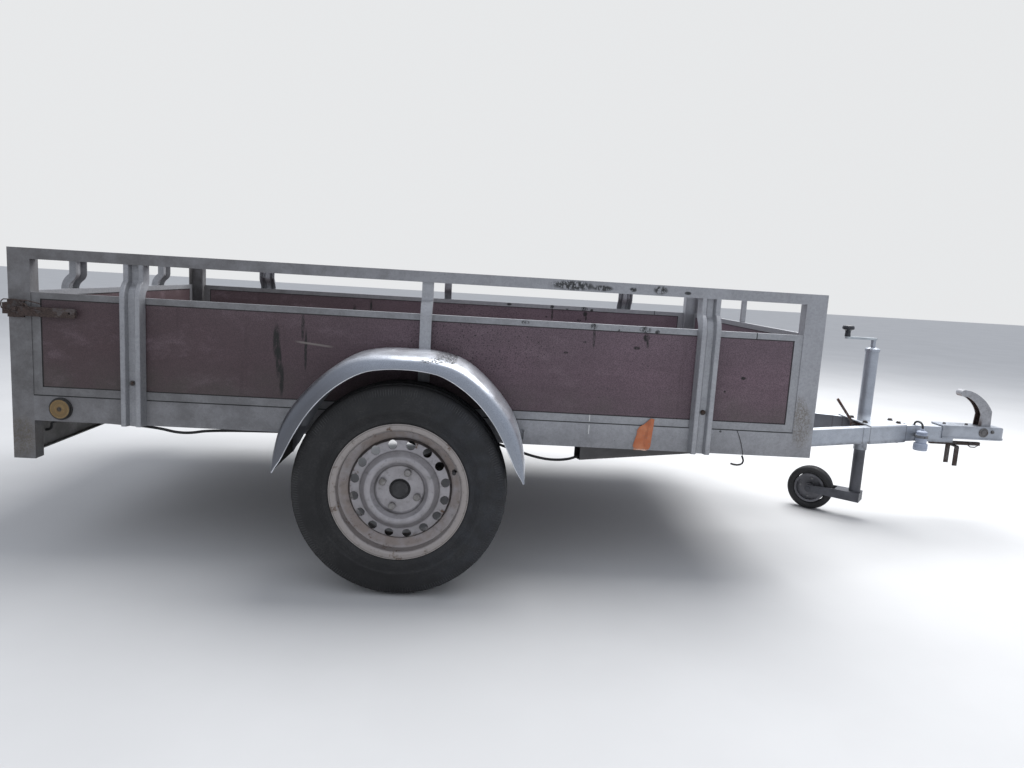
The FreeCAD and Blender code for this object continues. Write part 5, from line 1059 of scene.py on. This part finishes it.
def bar_finish(name):
    """Light zinc with a painted blue sky sheen: a painted highlight on top, painted shade with dirt under the
    box, painted shade on the inner faces, dark at the foot, with thin weld lines.
    """
    material, place, split = new_finish(name, 0.6)
    cloud = step(grain(place, 22, detail=6, rough=0.65), 0.32, 0.70)
    runs = step(grain(place, 70, (0.25, 1, 1), 5, 0.6), 0.45, 0.75)
    # the tubes' bluish tone is a painted sky sheen
    colour = over(times(cloud, 0.45), BAR_BRIGHT, BAR_DULL)
    colour = over(times(runs, 0.25), colour, BAR_RUN)
    pepper = step(grain(place, 420, detail=2), 0.42, 0.66, 0.0, 0.25)
    colour = over(pepper, colour, ZINC_PEPPER)
    # painted highlight on the top face
    roof_highlight = times(step(split[2], 0.3835, 0.3846), step(split[2], 0.4200, 0.4000))
    colour = over(times(roof_highlight, 0.75), colour, BAR_TOP_HIGHLIGHT)
    # painted shade, with dirt, where the tubes run under the box
    colour = over(times(step(split[0], 0.66, 0.56), 0.93), colour, BAR_SHADE_AND_DIRT)
    # painted shade on the faces that look in towards the other tube
    normal = material.node_tree.nodes.new("ShaderNodeNewGeometry").outputs["Normal"]
    face_y = put("SeparateXYZ", Vector=normal).outputs[1]
    inward = step(times(calc("SIGN", split[1]), face_y), -0.3, -0.8)
    inward = times(inward, step(calc("ABSOLUTE", split[1]), 0.040, 0.050))
    colour = over(times(inward, 0.72), colour, BAR_INNER_SHADE)
    patchy = step(grain(place, 45), 0.35, 0.7, 0.2, 0.7)
    colour = over(times(step(split[2], 0.338, 0.325), patchy), colour, BAR_FOOT)
    for x in BAR_WELDS:
        colour = over(times(line_at(split[0], x, 0.0026), 0.55), colour, BAR_WELD)
    rough = step(cloud, 0, 1, 0.36, 0.50)
    return finished(material, colour, rough, plus(cloud, grain(place, 180, detail=4)), 0.15, 0.0012)


dress(bar_finish("bar_zinc"), "drawbar_arms", "drawbar_plates", "jockey_tube")
# along the trailer, across
PLATE_BOLTS = ((1.119, 0.052), (1.262, 0.030))
# up, way it looks
PLATE_FACES = ((0.389, 1), (0.321, -1))
plate_bolts = [
    facing(x, side * y, z, (0, 0, way), x)
    for z, way in PLATE_FACES for x, y in PLATE_BOLTS for side in (-1, 1)
]
settle(copied(hex_bolt(1.1), plate_bolts), "plate_bolts", bolt_steel, "chassis", "rusty_steel")


# Coupling: zinc-plated pressing with a ring round the handle's pivot and a small bolt before it on each
# side, two bolt heads on top that go down into the drawbar tubes, and rust inside the handle's channel.
head_steel = rust_on("head_steel", (0.40, 0.425, 0.47), 0.10, (0.14, 0.095, 0.07), 0.6, 0.38)
ring_steel = rust_on("ring_steel", (0.150, 0.145, 0.145), 0.35, (0.09, 0.05, 0.032), 0.5, 0.5)
HEAD_SIDE = 0.0390
HEAD_ROOF = 0.392
# along the trailer, up
RING_PLACE = (1.597, 0.3705)
SIDE_BOLT_PLACE = (1.632, 0.3745)
ROOF_BOLTS = (1.462, 1.551)
# radius, out from the head's side
RING = (
    (0.0182, 0.0), (0.0182, 0.0022), (0.0170, 0.0030), (0.0140, 0.0030), (0.0130, 0.0014), (0.0088, 0.0014),
    (0.0088, 0.0030), (0.0075, 0.0038), (0.0001, 0.0038),
)
GRIP_ZINC = (0.36, 0.365, 0.385)
GRIP_DULL = (0.25, 0.25, 0.26)
GRIP_RUST = (0.150, 0.085, 0.066)
GRIP_RUST_DARK = (0.075, 0.050, 0.042)
GRIP_FOOT = (0.060, 0.036, 0.028)


def grip_finish(name):
    """Smooth zinc outside; the inside of the channel, which looks to the rear, has rusted brown."""
    material, place, split = new_finish(name, 0.6)
    cloud = step(grain(place, 60, detail=6, rough=0.65), 0.32, 0.70)
    colour = over(cloud, GRIP_ZINC, GRIP_DULL)
    out = calc("ABSOLUTE", split[1])
    inside = times(step(out, 0.0165, 0.0145), step(split[2], 0.520, 0.505))
    fine = step(grain(place, 150, detail=4), 0.3, 0.7)
    rusted = times(inside, step(cloud, 0, 1, 0.7, 1.0))
    colour = over(rusted, colour, over(fine, GRIP_RUST, GRIP_RUST_DARK))
    low = times(step(split[2], 0.430, 0.400), step(split[0], 1.604, 1.594))
    colour = over(times(low, 0.85), colour, GRIP_FOOT)
    return finished(material, colour, step(cloud, 0, 1, 0.34, 0.52), cloud, 0.2, 0.001)


dress(head_steel, "coupling_head")
dress(grip_finish("grip_finish"), "coupling_handle")
x, z = RING_PLACE
ring_places = [facing(x, side * HEAD_SIDE, z, (0, side, 0)) for side in (-1, 1)]
settle(copied(turned(RING, 32), ring_places), "coupling_rings", ring_steel, "chassis", "zinc_plated")
x, z = SIDE_BOLT_PLACE
head_bolts = [facing(x, side * HEAD_SIDE, z, (0, side, 0), side) for side in (-1, 1)]
head_bolts += [facing(x, 0, HEAD_ROOF, (0, 0, 1), x) for x in ROOF_BOLTS]
settle(copied(hex_bolt(0.72), head_bolts), "coupling_bolts", ring_steel, "chassis", "rusty_steel")


# Nose bracket: flat bar and bent strap under the coupling's nose, raw steel gone dark and brown, with a
# small wire link that hangs beside it.
strap_steel = rust_on("strap_steel", (0.110, 0.098, 0.095), 0.60, (0.062, 0.042, 0.034), 0.35, 0.6)
dress(strap_steel, "nose_bracket")
LINK_ACROSS = -0.020
LINK_RADIUS = 0.0020
# along the trailer, up
LINK = (
    (1.556, 0.3150), (1.566, 0.3085), (1.584, 0.3080), (1.594, 0.3140), (1.588, 0.3195), (1.566, 0.3200),
    (1.556, 0.3150),
)
link = rod([(x, LINK_ACROSS, z) for x, z in LINK], LINK_RADIUS, 8)
settle(link, "bracket_link", strap_steel, "chassis", "rusty_steel")


# Plug and cable: light grey moulding in two widths with grip flutes and a ring nut, a small screw in its
# side, parked in its grey holder; the black cable runs through the right-hand tube and under the side rail.
PLUG_PLACE = (1.338, -0.066)
# radius, up
PLUG_RINGS = (
    (0.0001, 0.2965), (0.0235, 0.2965), (0.0248, 0.2985), (0.0250, 0.3060), (0.0244, 0.3200),
    (0.0238, 0.3225), (0.0180, 0.3235), (0.0180, 0.3260), (0.0193, 0.3270), (0.0194, 0.3300),
    (0.0194, 0.3560), (0.0190, 0.3575), (0.0170, 0.3585), (0.0170, 0.3600), (0.0188, 0.3610),
    (0.0188, 0.3665), (0.0178, 0.3680), (0.0120, 0.3710), (0.0080, 0.3725), (0.0075, 0.3785),
    (0.0060, 0.3789), (0.0001, 0.3789),
)
PLUG_SIDES = 48
FLUTED_GRIP = (0.3060, 0.3200)
FLUTED_NUT = (0.3610, 0.3660)
FLUTE_DEEP = 0.0010
SCREW_PLACE = (PLUG_PLACE[0] - 0.001, PLUG_PLACE[1] - 0.0192, 0.3485)
CABLE_RADIUS = 0.004
# along the trailer, across, up: out of the plug and down into the tube, out of its end, under the rail
CABLE_ROUTE = (
    (1.338, -0.066, 0.379), (1.338, -0.066, 0.401), (1.332, -0.0175, 0.401), (1.332, -0.0175, 0.354),
    (-0.027, -0.5749, 0.342), (-0.072, -0.593, 0.322), (-0.152, -0.606, 0.322), (-0.252, -0.612, 0.352),
    (-0.337, -0.612, 0.380), (-0.452, -0.612, 0.380), (-0.532, -0.612, 0.374), (-1.112, -0.630, 0.372),
    (-1.200, -0.640, 0.354), (-1.287, -0.640, 0.374), (-1.592, -0.600, 0.376), (-1.614, -0.560, 0.330),
    (-1.632, -0.560, 0.330),
)


def flute(corners):
    """Every second face round the plug's grip and ring nut."""
    angle = math.atan2(sum(corner.y for corner in corners), sum(corner.x for corner in corners))
    up = sum(corner.z for corner in corners) / len(corners)
    grooved = FLUTED_GRIP[0] < up < FLUTED_GRIP[1] or FLUTED_NUT[0] < up < FLUTED_NUT[1]
    return grooved and math.floor(angle / math.tau * PLUG_SIDES) % 2 == 0


plug = turned(PLUG_RINGS, PLUG_SIDES)
pick(plug, "FACE", flute)
sunk(FLUTE_DEEP)
plug = copied(plug, [Matrix.Translation((*PLUG_PLACE, 0))])
plug_grey = plastic("plug_grey", (0.290, 0.325, 0.400), 0.42, 0.35)
settle(plug, "grey_plug", plug_grey, "chassis", "black_plastic", "plug")
plug_screw = copied(hex_bolt(0.42), [facing(*SCREW_PLACE, (0, -1, 0), 0.3)])
settle(plug_screw, "plug_screw", plastic("screw_dark", (0.012, 0.012, 0.013), 0.5), "chassis", "rusty_steel")
dress(plastic("holder_grey", (0.11, 0.115, 0.125), 0.55, 0.4), "plug_holder")
cable = rod(CABLE_ROUTE, CABLE_RADIUS, 12, flowing=True)
cable_black = plastic("cable_black", (0.012, 0.012, 0.012), 0.5, 0.5)
settle(cable, "lamp_cable", cable_black, "chassis", "cable_black", "wiring_loom")


# Jockey: galvanised tube in a clamp with a reddish T-bar, bright crank and spindle, flat black knob, dark
# grey leg and fork, and a small black rubber wheel on a dark pressed hub with four rivets.
leg_steel = rust_on("leg_steel", (0.105, 0.108, 0.122), 0.16, (0.070, 0.052, 0.045), 0.5, 0.5)
clamp_steel = rust_on("clamp_steel", (0.155, 0.130, 0.122), 0.55, (0.125, 0.066, 0.050), 0.4, 0.5)
crank_steel = rust_on("crank_steel", (0.48, 0.52, 0.55), 0.08, (0.14, 0.11, 0.09), 0.6, 0.38)
hub_zinc = rust_on("hub_zinc", (0.165, 0.165, 0.180), 0.20, (0.075, 0.058, 0.050), 0.5, 0.45)
rivet_zinc = rust_on("rivet_zinc", (0.34, 0.34, 0.345), 0.25, (0.10, 0.06, 0.045), 0.5, 0.4)
dress(leg_steel, "jockey_leg", "jockey_fork")
dress(clamp_steel, "jockey_clamp")
dress(crank_steel, "jockey_crank")
dress(hub_zinc, "jockey_hub")
KNOB_ALONG = 1.036
# radius, up
KNOB_RINGS = (
    (0.0001, 0.7092), (0.0105, 0.7092), (0.0110, 0.7110), (0.0098, 0.7220), (0.0102, 0.7300),
    (0.0150, 0.7340), (0.0205, 0.7365), (0.0219, 0.7395), (0.0218, 0.7450), (0.0195, 0.7495),
    (0.0130, 0.7520), (0.0001, 0.7527),
)
JOCKEY_WHEEL = (1.010, 0.1016, 0.087)
JOCKEY_TURN = math.radians(232)
AXLE_WAY = Vector((math.cos(JOCKEY_TURN), math.sin(JOCKEY_TURN), 0))
# radius, out
JOCKEY_RINGS = (
    (0.0605, 0.0195), (0.0640, 0.0228), (0.0660, 0.0245), (0.0700, 0.0245), (0.0712, 0.0252),
    (0.0735, 0.0252), (0.0745, 0.0243), (0.0790, 0.0235), (0.0830, 0.0205), (0.0856, 0.0165),
    (0.0862, 0.0120), (0.0862, 0.0105), (0.0848, 0.0098), (0.0848, 0.0088), (0.0867, 0.0080),
    (0.0870, 0.0012), (0.0857, 0.0006),
)
# radius, out from the hub's disc
RIVET_RINGS = ((0.0052, 0.0), (0.0050, 0.0010), (0.0040, 0.0022), (0.0022, 0.0029), (0.0001, 0.0031))
RIVET_CIRCLE = 0.038
HUB_DISC = 0.006
knob = copied(turned(KNOB_RINGS, 32), [Matrix.Translation((KNOB_ALONG, 0, 0))])
knob_black = plastic("knob_black", (0.016, 0.018, 0.024), 0.30)
settle(knob, "crank_knob", knob_black, "chassis", "black_plastic", "jockey_knob")
small_tyre = turned(list(JOCKEY_RINGS) + mirrored(JOCKEY_RINGS), 64)
small_tyre = copied(small_tyre, [facing(*JOCKEY_WHEEL, AXLE_WAY)])
small_rubber = plastic("small_rubber", (0.010, 0.010, 0.011), 0.6, 0.7)
settle(small_tyre, "small_tyre", small_rubber, "jockey_wheel", "tyre", "jockey_tyre")
rivet_places = []
for way in (1, -1):
    for quarter in range(4):
        turn = math.radians(45 + 90 * quarter)
        spot = (RIVET_CIRCLE * math.cos(turn), RIVET_CIRCLE * math.sin(turn), HUB_DISC)
        rivet_places.append(facing(*JOCKEY_WHEEL, way * AXLE_WAY) @ Matrix.Translation(spot))
rivets = copied(turned(RIVET_RINGS, 16), rivet_places)
settle(rivets, "hub_rivets", rivet_zinc, "jockey_wheel", "grey_plastic")


# Camera: low on the trailer's right, level with the box, a little nose-down and rolled with the slope of the
# ground; where it stands and looks comes from the trailer's own corners.
CAMERA_PLACE = (-0.3635, -2.7783, 0.8616)
CAMERA_YAW = 0.0479
CAMERA_PITCH = 0.144
CAMERA_ROLL = 0.0595
CAMERA_LENS = 26.16
CAMERA_SENSOR = 36
top_way = Vector((0, 0, 1))
yaw_way = Vector((math.sin(CAMERA_YAW), math.cos(CAMERA_YAW), 0))
right = Vector((math.cos(CAMERA_YAW), -math.sin(CAMERA_YAW), 0))
ahead = yaw_way * math.cos(CAMERA_PITCH) - top_way * math.sin(CAMERA_PITCH)
upward = top_way * math.cos(CAMERA_PITCH) + yaw_way * math.sin(CAMERA_PITCH)
rolled_right = right * math.cos(CAMERA_ROLL) + upward * math.sin(CAMERA_ROLL)
rolled_up = upward * math.cos(CAMERA_ROLL) - right * math.sin(CAMERA_ROLL)
bpy.ops.object.select_all(action="DESELECT")
bpy.ops.object.camera_add(location=CAMERA_PLACE)
camera = bpy.context.object
camera.name = "photo_camera"
camera.data.lens = CAMERA_LENS
camera.data.sensor_width = CAMERA_SENSOR
axes = Matrix((rolled_right, rolled_up, -ahead)).transposed()
camera.matrix_world = Matrix.Translation(CAMERA_PLACE) @ axes.to_4x4()
scene.camera = camera


# Stage: pale floor and a soft grey sky with one broad light above the trailer, a little towards its front
# and far side, so that what looks up is bright and the near side is in open shade.
FLOOR_GREY = (0.50, 0.50, 0.50)
FLOOR_PALE = (0.53, 0.53, 0.53)
SKY_LIGHT = (0.60, 0.63, 0.69)
SKY_BEHIND = (0.64, 0.648, 0.656)
SKY_STRENGTH = 1.25
KEY_PLACE = (1.3, 1.5, 4.6)
KEY_LEAN = (math.radians(-17), math.radians(14), 0)
KEY_SIZE = 4.5
KEY_POWER = 440
bpy.ops.object.select_all(action="DESELECT")
bpy.ops.mesh.primitive_plane_add(size=60, location=(0, 0, 0))
floor = bpy.context.object
floor.name = "studio_floor"
floor_finish, place, split = new_finish("studio_floor")
shade = over(step(grain(place, 1.5), 0.3, 0.7), FLOOR_GREY, FLOOR_PALE)
floor_shader = floor_finish.node_tree.nodes["Principled BSDF"]
floor_finish.node_tree.links.new(shade, floor_shader.inputs["Base Color"])
floor_shader.inputs["Roughness"].default_value = 0.9
floor.data.materials.append(floor_finish)
bpy.ops.object.light_add(type="AREA", location=KEY_PLACE, rotation=KEY_LEAN)
key_light = bpy.context.object
key_light.name = "key_light"
key_light.data.shape = "SQUARE"
key_light.data.size = KEY_SIZE
key_light.data.energy = KEY_POWER
world = bpy.data.worlds.new("soft_sky")
scene.world = world
world.use_nodes = True
sky = world.node_tree.nodes["Background"]
sky.inputs["Strength"].default_value = SKY_STRENGTH
path = world.node_tree.nodes.new("ShaderNodeLightPath")
backdrop = over(path.outputs["Is Camera Ray"], SKY_LIGHT, SKY_BEHIND)
world.node_tree.links.new(backdrop, sky.inputs["Color"])
